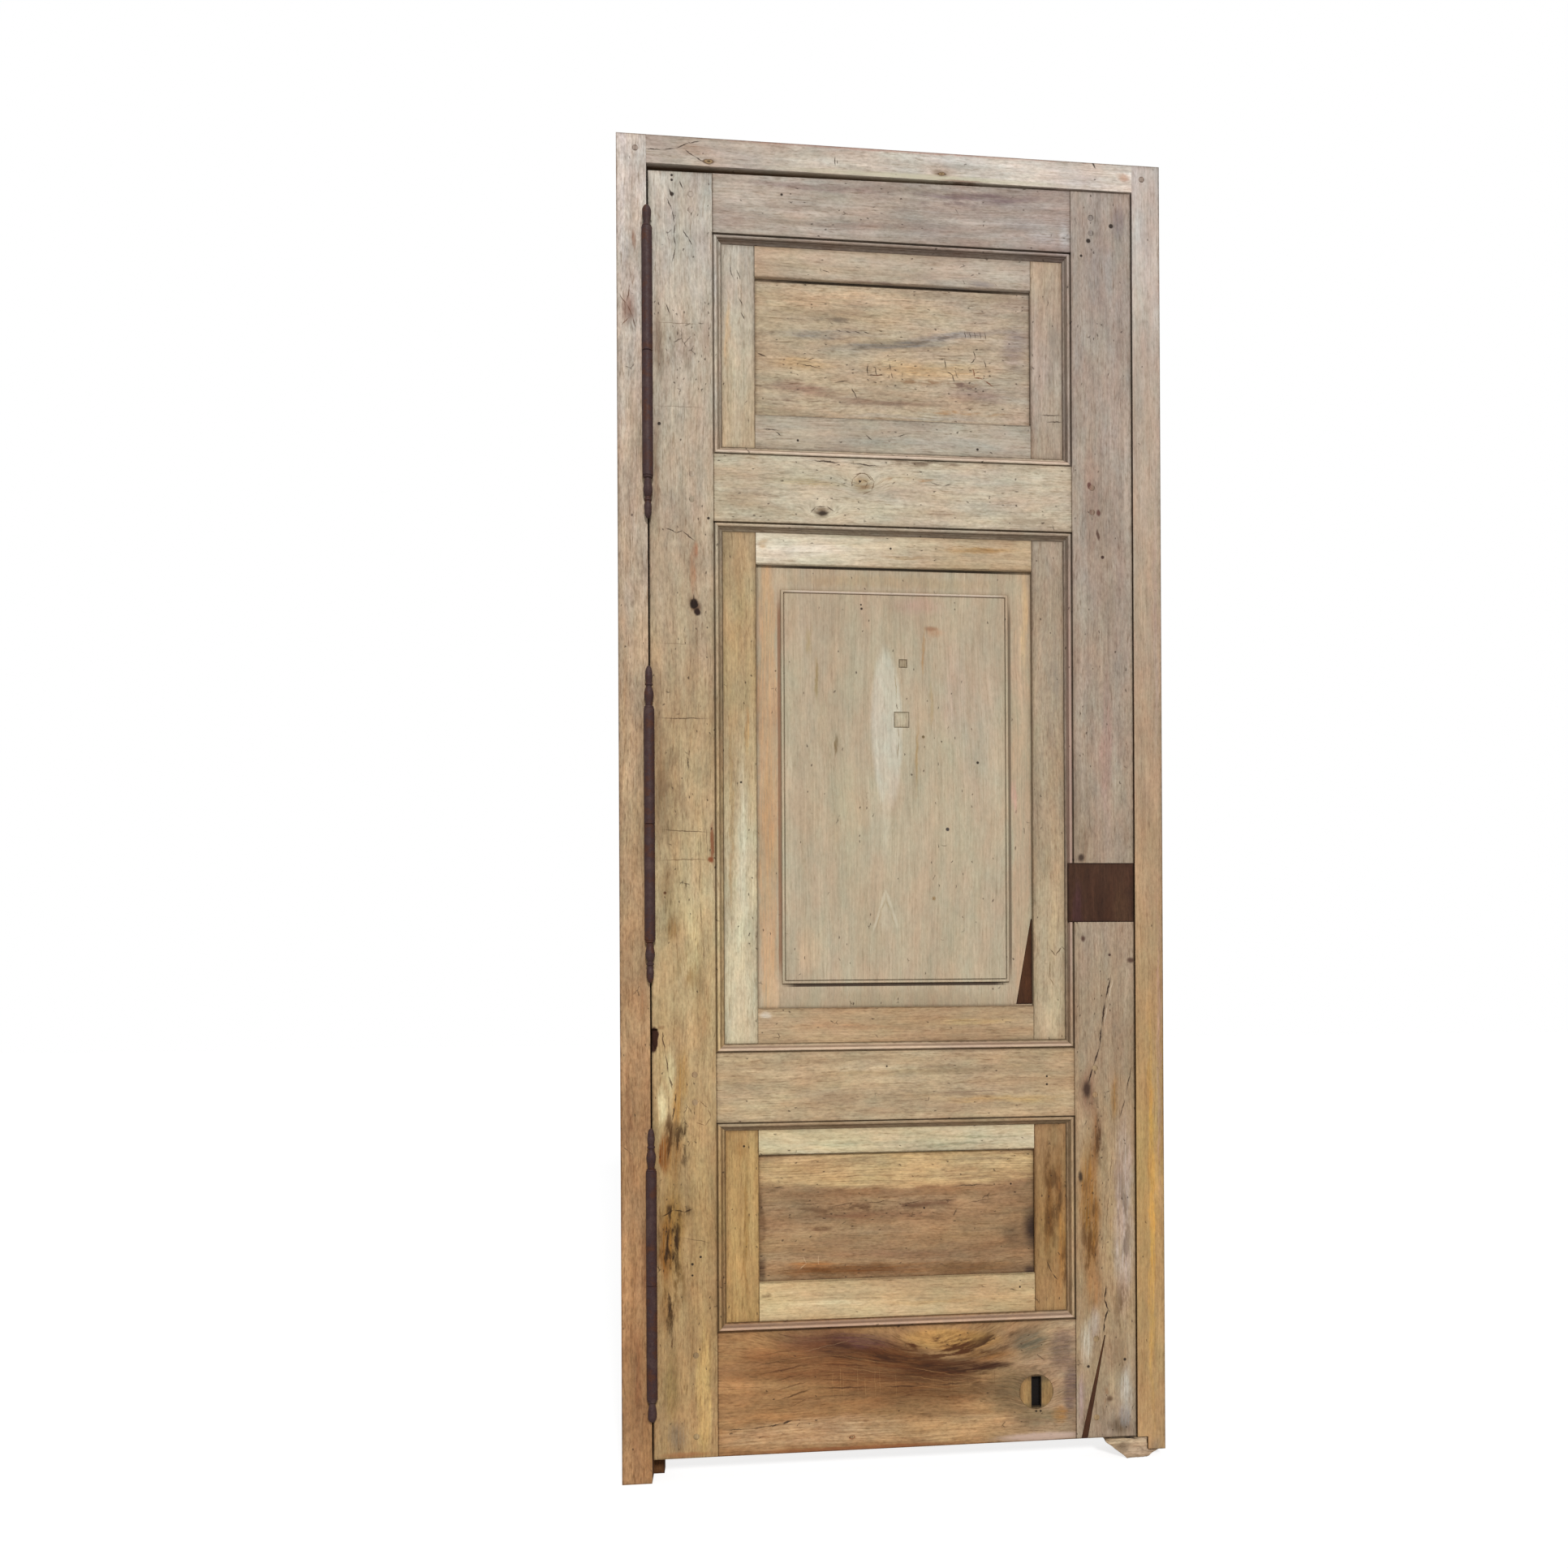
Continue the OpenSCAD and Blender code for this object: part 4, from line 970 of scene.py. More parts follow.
@dataclass
class LeafBoards(Joinery):
    """Stiles and rails of the leaf, with their stuck mouldings, and the pegs that pin them."""

    def build(self) -> None:
        """Dress the stiles, the rails and the pegs."""
        self._hinge_stile()
        self._lock_stile()
        self._rails()
        self._bottom_rail()
        self.dress("leaf_pegs", OldWalnut(
            "leaf_pegs", Grain.UPRIGHT,
            (Tone(0, "#a58d68"), Tone(660, "#ab9270"), Tone(1690, "#aea08c"), Tone(2200, "#b3a99c")),
            marks=(Mark((348, 1690), (30, 90), "#7d665a", 1.0, 0.6),
                   Mark((348, 2176), (30, 60), "#8a7d76", 1.0, 0.6))), 0.0)

    def _hinge_stile(self) -> None:
        """Dress the stile that carries the hinges."""
        fleck = Edge.FLECKED
        self.dress("hinge_stile", OldWalnut(
            "hinge_stile", Grain.UPRIGHT,
            (Tone(40, "#aa8c62"), Tone(180, "#ac8e64"), Tone(460, "#a98d62"), Tone(665, "#b89e74"),
             Tone(1005, "#c6b28a"), Tone(1275, "#b09a78"), Tone(1545, "#b3a188"), Tone(1900, "#bdb1a0"),
             Tone(2236, "#c5c0b5")), 24.0, 1.0, 5.0, 0.025,
            wormy=(((-358, 1890), (55, 90), 0.18), ((-362, 1970), (55, 70), 0.16),
                   ((-385, 420), (40, 110), 0.14),
                   ((-368, 600), (45, 70), 0.12), ((-370, 1420), (50, 160), 0.04)),
            marks=(
                hole((-380, 2219), 2.8), hole((-380, 2211), 2.8), hole((-380, 2187), 4.5),
                *trail(((-384, 2196), (-380, 2182)), 4.0), crack((-366, 2209), (-362, 2197), 3.4),
                *trail(((-389, 2180), (-379, 2160), (-375, 2137), (-377, 2118), (-373, 2097), (-380, 2070)),
                       2.6),
                *trail(((-362, 2128), (-352, 2113), (-346, 2102)), 2.6),
                crack((-350, 2170), (-347, 2150), 2.2),
                crack((-391, 2001), (-384, 1984), 3.0),
                crack((-418, 1968), (-320, 1968), 1.8, "#5f4a36", 0.6),
                crack((-418, 1826), (-320, 1826), 1.8, "#5f4a36", 0.5),
                crack((-414, 1297), (-316, 1297), 2.6, "#54402e", 0.9), hole((-403, 1796), 3.6),
                hole((-321, 1638), 3.0),
                Mark((-362, 1930), (44, 100), "#7f6f5c", 0.5, 0.1, edge=fleck),
                Mark((-404, 1930), (12, 90), "#6b523f", 0.7), Mark((-408, 1700), (9, 120), "#85694f", 0.6),
                *trail(((-394, 1620), (-375, 1612), (-366, 1615), (-343, 1598)), 2.6),
                Mark((-344, 1490), (13, 22), "#5a3d2b", 0.8, 0.3, 30.0, Edge.CRACK),
                Mark((-346, 1492), (9, 11), "#21140e", 1.0, 0.6, edge=Edge.CRACK),
                Mark((-340, 1478), (7, 9), "#2b1b14", 1.0, 0.5, edge=Edge.CRACK),
                Mark((-348, 1545), (8, 50), "#a97c5c", 0.75, 0.2),
                Mark((-343, 1584), (7, 22), "#a67456", 0.75, 0.2),
                crack((-347, 1510), (-346, 1490), 2.6), crack((-358, 1236), (-357, 1206), 2.4),
                Mark((-408, 1220), (11, 220), "#8a6c4e", 0.65),
                Mark((-400, 1180), (22, 130), "#8f7150", 0.7, 0.2),
                Mark((-380, 1190), (40, 130), "#7a6046", 0.55, 0.1, edge=fleck),
                crack((-414, 1425), (-340, 1423), 1.8, "#6b5640", 0.6),
                crack((-412, 1108), (-314, 1103), 2.4, "#54402c", 0.85),
                crack((-412, 1056), (-316, 1057), 2.4, "#6b5236", 0.8),
                Mark((-317, 1085), (5, 46), "#7b4426", 0.85, 0.3, edge=Edge.CRACK),
                Mark((-320, 1057), (7, 8), "#7d3f1e", 0.9, 0.3, edge=Edge.CRACK),
                *trail(((-338, 1108), (-336, 1060), (-340, 1000), (-334, 930), (-332, 870)), 2.0, "#6d5a40",
                       0.75),
                Mark((-385, 945), (14, 30), "#9a7640", 0.7, 0.2),
                Mark((-360, 870), (30, 50), "#8a6a3a", 0.6, 0.1, edge=fleck),
                Mark((-417, 751), (8.5, 25), "#3a2014", 1.0, 0.75, -4.0, Edge.CRACK),
                Mark((-404, 772), (8, 5), "#7a5434", 0.5, 0.2, edge=Edge.CRACK),
                Mark((-352, 905), (20, 90), "#cfc294", 0.75, 0.2),
                Mark((-390, 700), (14, 60), "#d6cb9e", 0.75, 0.2),
                Mark((-368, 690), (14, 62), "#b98d4c", 0.75, 0.2),
                Mark((-350, 1340), (30, 90), "#a08a6c", 0.5),
                Mark((-345, 1030), (30, 120), "#cbb891", 0.6),
                Mark((-395, 1010), (16, 60), "#8d7148", 0.55),
                crack((-330, 1150), (-324, 1040), 1.8, "#6f5a40", 0.6), hole((-397, 1000), 3.0, "#5a3a22"),
                Mark((-335, 800), (22, 130), "#a08258", 0.55), Mark((-398, 640), (10, 34), "#cdb98c", 0.8),
                *trail(((-380, 660), (-381, 641), (-387, 612), (-391, 579), (-395, 545)), 3.0),
                Mark((-378, 640), (16, 60), "#b8873f", 0.7, 0.1),
                Mark((-404, 640), (10, 46), "#ddd0a4", 0.9, 0.3),
                Mark((-400, 556), (13, 44), "#7d4716", 1.0, 0.4),
                Mark((-384, 560), (24, 70), "#8d6430", 0.7, 0.1),
                Mark((-370, 575), (24, 56), "#38240f", 0.95, 0.3, edge=fleck),
                Mark((-392, 590), (12, 60), "#4a2d10", 0.9, 0.2, edge=fleck),
                *trail(((-352, 640), (-340, 646), (-326, 634), (-322, 618), (-332, 604), (-346, 610)), 2.0,
                       "#6f5236"),
                Mark((-378, 460), (34, 15), "#3f2a14", 0.95, 0.3, edge=fleck),
                Mark((-384, 440), (26, 60), "#8f6a38", 0.75, 0.2),
                *trail(((-404, 452), (-385, 462), (-366, 458), (-356, 462)), 3.4, "#33200e"),
                Mark((-398, 400), (17, 80), "#6f3f12", 1.0, 0.35),
                Mark((-388, 430), (32, 140), "#a07a3c", 0.6, 0.2),
                Mark((-384, 350), (30, 90), "#6b4c22", 0.8, 0.15, edge=fleck),
                Mark((-390, 405), (26, 80), "#2c1a0a", 1.0, 0.35, edge=fleck),
                Mark((-392, 290), (16, 60), "#3f2a14", 0.95, 0.3, edge=fleck),
                Mark((-398, 300), (12, 70), "#8a6534", 0.7, 0.2),
                *trail(((-396, 325), (-390, 305), (-394, 284)), 2.6),
                crack((-388, 244), (-389, 226), 3.6, "#4d2f18"),
                crack((-376, 416), (-318, 403), 1.8, "#57442e", 0.75), hole((-354, 369), 2.8),
                hole((-340, 381), 2.6),
                hole((-354, 350), 2.2), Mark((-388, 160), (18, 90), "#8a7648", 0.65),
                Mark((-381, 80), (22, 38), "#756d5e", 0.7),
                Mark((-334, 150), (18, 150), "#ccae72", 0.85, 0.4),
                Mark((-366, 46), (60, 7), "#94603c", 0.6, edge=Edge.CRACK),
                *trail(((-404, 770), (-397, 730), (-392, 690), (-386, 668)), 3.2, "#4a3220")),
            rims=moulded_rims()))

    def _lock_stile(self) -> None:
        """Dress the stile that held the lock."""
        fleck = Edge.FLECKED
        self.dress("lock_stile", OldWalnut(
            "lock_stile", Grain.UPRIGHT,
            (Tone(40, "#a0907c"), Tone(220, "#a58f70"), Tone(460, "#a48a68"), Tone(860, "#a18f79"),
             Tone(1400, "#a69787"), Tone(2220, "#a99d93")), 22.0, 0.9, 6.0, 0.020,
            wormy=(((345, 480), (40, 200), 0.14), ((370, 2050), (50, 160), 0.04),
                   ((350, 820), (40, 120), 0.06)),
            marks=(
                hole((344, 2148), 5.0), hole((385, 2176), 5.0), hole((331, 2121), 3.0),
                Mark((343, 1717), (5, 8), "#5a3630", 0.9, 0.4, edge=Edge.CRACK),
                Mark((360, 1669), (5, 8), "#5a3630", 0.9, 0.4, edge=Edge.CRACK),
                Mark((359, 1630), (4, 13), "#4d352c", 0.9, 0.4, 12.0, Edge.CRACK),
                hole((367, 1591), 3.8, "#3f2a24"),
                Mark((400, 2185), (20, 40), "#7e7275", 0.6), Mark((366, 2100), (36, 110), "#918884", 0.5),
                Mark((346, 1700), (16, 220), "#a98f7e", 0.5), Mark((400, 1500), (16, 300), "#97887c", 0.55),
                Mark((330, 1080), (12, 60), "#8a705a", 0.5),
                Mark((338, 440), (26, 170), "#90652f", 0.95, 0.3),
                Mark((350, 560), (18, 100), "#4d321a", 0.9, 0.2, edge=fleck),
                Mark((338, 400), (26, 140), "#5a3b1c", 0.9, 0.2, edge=fleck),
                Mark((344, 300), (26, 60), "#a3764a", 0.75, 0.2),
                Mark((400, 440), (24, 230), "#b0a094", 0.9, 0.3),
                Mark((396, 400), (20, 150), "#6d5b4c", 0.85, 0.1, edge=fleck),
                Mark((396, 268), (22, 60), "#6a5138", 0.85, 0.1, edge=fleck),
                Mark((388, 190), (26, 60), "#93795c", 0.7, 0.2),
                *trail(((378, 853), (368, 810), (361, 765), (357, 729), (346, 695), (336, 664)), 4.0,
                       "#33241c", 1.0),
                *trail(((382, 850), (372, 806), (365, 762)), 2.6, "#c9b8a2", 0.7),
                Mark((334, 654), (11, 22), "#3d2b22", 0.95, 0.3, edge=Edge.CRACK),
                Mark((338, 650), (24, 60), "#7f5f4a", 0.75, 0.2),
                Mark((348, 560), (14, 80), "#7d5530", 0.85, 0.2),
                Mark((382, 640), (9, 60), "#9a7440", 0.7, 0.2),
                Mark((326, 1062), (8, 10), "#3f3027", 0.95, 0.3, edge=Edge.CRACK),
                Mark((328, 919), (6, 7), "#4a2f26", 0.9, 0.3, edge=Edge.CRACK),
                hole((376, 890), 3.0, "#4a342a"),
                Mark((414, 880), (10, 7), "#4a3026", 0.85, 0.3, edge=Edge.CRACK), hole((362, 1010), 2.4),
                Mark((306, 1180), (6.5, 470), "#b7968a", 0.5, 0.5, edge=Edge.CLEAN),
                Mark((372, 1250), (14, 200), "#a3827a", 0.55, 0.2),
                *trail(((416, 700), (404, 640), (392, 600)), 2.4),
                Mark((322, 500), (6, 14), "#2f221b", 0.9, 0.3, edge=Edge.CRACK),
                *trail(((380, 560), (374, 480), (366, 400), (364, 330)), 1.8, "#5a432c", 0.7),
                *trail(((366, 307), (364, 282), (370, 266), (363, 241), (362, 226)), 4.2, "#251811", 1.0),
                Mark((332, 206), (20, 54), "#c4bfab", 0.75, 0.15),
                Mark((346, 240), (14, 40), "#b9aea0", 0.7), Mark((322, 110), (10, 60), "#b39a92", 0.8, 0.2),
                Mark((404, 124), (16, 60), "#bfbaae", 0.8, 0.15),
                Mark((376, 130), (10, 50), "#c0a988", 0.8),
                Mark((390, 58), (34, 20), "#57442f", 0.85, 0.2), Mark((400, 76), (16, 30), "#8d8f90", 0.7),
                Mark((372, 112), (14, 34), "#7a4d24", 0.8, 0.1, edge=fleck),
                Mark((330, 66), (14, 30), "#5f4c3a", 0.7, 0.1, edge=fleck),
                hole((334, 166), 3.2), hole((400, 176), 3.2),
                Mark((372, 108), (9, 8), "#4a2f1c", 0.8, edge=Edge.CRACK)),
            rims=moulded_rims()))

    def _rails(self) -> None:
        """Dress the three upper rails."""
        rims = (*moulded_rims(), shoulder_rim())
        fleck = Edge.FLECKED
        self.dress("top_rail", OldWalnut(
            "top_rail", Grain.LEVEL, (Tone(-320, "#b0a497"), Tone(0, "#ada195"), Tone(320, "#a99c95")),
            10.0, 0.9, 7.0, 0.030, rims=rims, wormy=(((-80, 2160), (200, 40), 0.06),),
            marks=(*moulding_shade_and_highlight(2126.0, None), hole((-194, 2197), 2.8),
                   # Painted shade under the head: the darker mauve bands along the rail's top edge.
                   Mark((150, 2214), (170, 10), "#766466", 0.8),
                   Mark((-140, 2214), (180, 8), "#8a7670", 0.7),
                   Mark((302, 2156), (14, 30), "#c6c4c4", 0.75, 0.2),
                   Mark((262, 2150), (40, 20), "#b9b4b2", 0.6), Mark((-60, 2152), (220, 9), "#8d7a6e", 0.5),
                   Mark((-260, 2180), (50, 30), "#beb4a6", 0.6),
                   Mark((120, 2200), (150, 14), "#6f5f5c", 0.6, edge=fleck))))
        self.dress("frieze_rail", OldWalnut(
            "frieze_rail", Grain.LEVEL, (Tone(-320, "#c0b39a"), Tone(0, "#cbc0aa"), Tone(320, "#beb19c")),
            18.0, 1.0, 8.0, 0.030, rims=rims,
            eddies=(((-57, 1706), (60, 30), 20.0), ((-127, 1652), (50, 24), 16.0)),
            wormy=(((-40, 1710), (160, 40), 0.08), ((200, 1690), (90, 40), 0.06)),
            marks=(*moulding_shade_and_highlight(1634.0, 1749.0), Mark((-57, 1706), (24, 20), "#a08a66", 0.75, 0.3),
                   Mark((-54, 1702), (13, 10), "#84694a", 0.7, 0.2, edge=fleck),
                   *trail(((-76, 1700), (-74, 1714), (-62, 1724), (-46, 1722), (-36, 1710), (-42, 1694),
                           (-58, 1688)), 2.4, "#6b543a", 0.8),
                   *trail(((-66, 1704), (-58, 1714), (-48, 1708), (-52, 1698)), 2.0, "#5d4630", 0.8),
                   hole((-62, 1710), 2.4), *trail(((-74, 1722), (-52, 1724), (-40, 1712)), 2.4, "#5d4630"),
                   Mark((-127, 1654), (22, 12), "#6f5c46", 0.85, 0.3),
                   Mark((-126, 1653), (13, 7), "#33271f", 0.95, 0.3, edge=Edge.CRACK),
                   *trail(((-148, 1652), (-138, 1664), (-120, 1665), (-106, 1656)), 2.4, "#4a3a2c", 0.8),
                   Mark((-140, 1648), (30, 9), "#6b5a44", 0.7, edge=fleck),
                   Mark((-150, 1706), (90, 9), "#a9966f", 0.7),
                   Mark((20, 1716), (70, 5), "#a3703c", 0.7, edge=fleck),
                   Mark((130, 1690), (140, 14), "#d3cab2", 0.7),
                   Mark((-270, 1670), (50, 20), "#9f8f73", 0.5),
                   Mark((60, 1745), (170, 7), "#6f5b48", 0.8, edge=fleck),
                   crack((-150, 1744), (-90, 1740), 4.0),
                   crack((-90, 1741), (-20, 1737), 3.0), *trail(((60, 1712), (84, 1708), (100, 1711)), 2.0),
                   Mark((250, 1650), (90, 14), "#94836e", 0.6, edge=fleck))))
        self.dress("lower_rail", OldWalnut(
            "lower_rail", Grain.LEVEL, (Tone(-320, "#b6a180"), Tone(0, "#baa687"), Tone(320, "#b39c7b")),
            14.0, 1.0, 9.0, 0.016, rims=rims,
            marks=(*moulding_shade_and_highlight(608.0, 727.0), Mark((180, 640), (130, 10), "#b5935f", 0.7),
                   Mark((0, 690), (240, 9), "#a08a68", 0.6),
                   crack((-60, 668), (70, 672), 1.6, "#7b6345", 0.6),
                   crack((60, 652), (190, 655), 2.2, "#6b5446", 0.75),
                   Mark((150, 652), (110, 8), "#8d765e", 0.75, 0.2, edge=fleck),
                   Mark((-200, 650), (110, 12), "#c2ae8c", 0.6),
                   hole((262, 678), 2.4), hole((262, 664), 2.4), hole((-20, 700), 2.0))))

    def _bottom_rail(self) -> None:
        """Dress the bottom rail, with the dark swirl in its middle."""
        flame, fleck = Edge.FLAME, Edge.FLECKED
        self.dress("bottom_rail", OldWalnut(
            "bottom_rail", Grain.LEVEL, (Tone(-320, "#a37d54"), Tone(-100, "#9a744c"), Tone(150, "#a0805a"),
                                         Tone(320, "#a89074")),
            18.0, 1.1, 10.0, 0.012, rims=(*moulded_rims(), shoulder_rim()),
            wormy=(((90, 215), (110, 30), 0.14), ((240, 200), (60, 50), 0.04)),
            eddies=(((70, 225), (230, 95), 70.0), ((-150, 240), (140, 60), 30.0),
                    ((240, 126), (60, 50), 18.0)),
            marks=(
                *moulding_shade_and_highlight(None, 250.0),
                Mark((-140, 72), (240, 32), "#bf9f79", 0.9, 0.4, 2.0),
                Mark((90, 70), (150, 28), "#c09f74", 0.85, 0.35, 3.0),
                Mark((-230, 190), (110, 50), "#8a623c", 0.85, 0.2),
                Mark((-130, 226), (130, 34), "#5d3c33", 0.95, 0.25, -6.0, flame),
                Mark((-130, 186), (170, 56), "#7a5232", 0.9, 0.25, -10.0),
                Mark((-30, 184), (180, 54), "#6d4628", 0.9, 0.3, -12.0),
                Mark((0, 196), (130, 30), "#573319", 0.9, 0.3, -16.0),
                Mark((90, 170), (120, 24), "#4d2c15", 0.9, 0.35, 2.0),
                Mark((160, 174), (56, 11), "#3a1d0f", 1.0, 0.35, 5.0),
                Mark((50, 136), (180, 36), "#73502f", 0.9, 0.2),
                Mark((-60, 230), (90, 20), "#45283a", 0.5, 0.1, -10.0),
                Mark((-60, 202), (80, 17), "#2f1a10", 0.75, 0.2, -10.0, fleck),
                Mark((30, 186), (70, 13), "#2f1a10", 0.7, 0.2, -12.0, fleck),
                Mark((-110, 218), (46, 14), "#3a2018", 0.7, 0.2, -6.0, fleck),
                Mark((110, 168), (70, 10), "#2b160c", 0.9, 0.3, 0.0, fleck),
                Mark((90, 222), (110, 24), "#b18a54", 1.0, 0.5, -4.0, Edge.SMOOTH),
                Mark((70, 212), (130, 34), "#4a2812", 1.0, 0.35, -6.0, fleck),
                Mark((168, 216), (60, 24), "#3f2614", 1.0, 0.3, 14.0, fleck),
                Mark((150, 196), (70, 16), "#8a6238", 0.8, 0.2),
                Mark((228, 214), (44, 34), "#6b6350", 1.0, 0.35),
                Mark((284, 200), (30, 50), "#7d6858", 0.95, 0.35),
                Mark((206, 130), (70, 56), "#6f5c40", 0.95, 0.35),
                Mark((282, 84), (22, 20), "#b07c40", 0.95, 0.25),
                Mark((302, 130), (20, 80), "#6b5850", 0.9, 0.25),
                Mark((240, 84), (70, 20), "#847254", 0.9, 0.25),
                Mark((250, 150), (44, 40), "#54432f", 0.75, 0.1, edge=fleck),
                Mark((130, 150), (60, 40), "#4a3019", 0.6, 0.1, edge=fleck),
                *trail(((-306, 85), (-260, 85), (-227, 88)), 2.2),
                *trail(((-227, 88), (-205, 90), (-185, 96)), 3.6),
                *(crack((x, 168 + 3 * x % 31), (x + 2, 112 + x % 17), 1.3, "#b9925f", 0.26)
                  for x in (-117, -104, -99, -74, -61, -44, -36, -8)),
                *(crack((x, 170 + x % 13), (x + 2, 118 + x % 11), 1.3, "#4d331d", 0.36)
                  for x in (60, 84, 91, 118, 140, 166)),
                *(mark for k in range(7) for mark in trail(
                    ((-270 + 12 * k, 206 - 15 * k), (-150, 220 - 14 * k), (-40, 206 - 12 * k),
                     (60, 186 - 8 * k), (150 - 6 * k, 172 - 5 * k)),
                    2.2 + k % 3, "#3a2010" if k % 2 else "#4d2c18", 0.5 + 0.1 * (k % 3))),
                *(mark for k in range(3) for mark in trail(
                    ((-240, 196 - 22 * k), (-120, 206 - 20 * k), (0, 182 - 16 * k), (110, 158 - 12 * k)),
                    1.8, "#a57c50", 0.4)),
                *(crack((-170 + 24 * k, 212 + 5 * k), (-130 + 24 * k, 220 + 5 * k), 1.4, "#a98763", 0.35)
                  for k in range(3)),
                *knot((-83, 62), (6, 4), "#7a4426"), hole((240, 92), 2.4), hole((248, 92), 2.4),
                Mark((250, 47), (100, 10), "#bfa698", 0.8, 0.4, edge=Edge.CRACK),
                # Painted shade: the dark inside of the slot, drawn on the flat face.
                Mark((240.5, 126), (9.5, 29), "#120d0a", 1.0, 0.95, edge=Edge.SQUARE),
                Mark((-80, 43), (270, 6), "#8a5433", 0.75, edge=Edge.CRACK))))


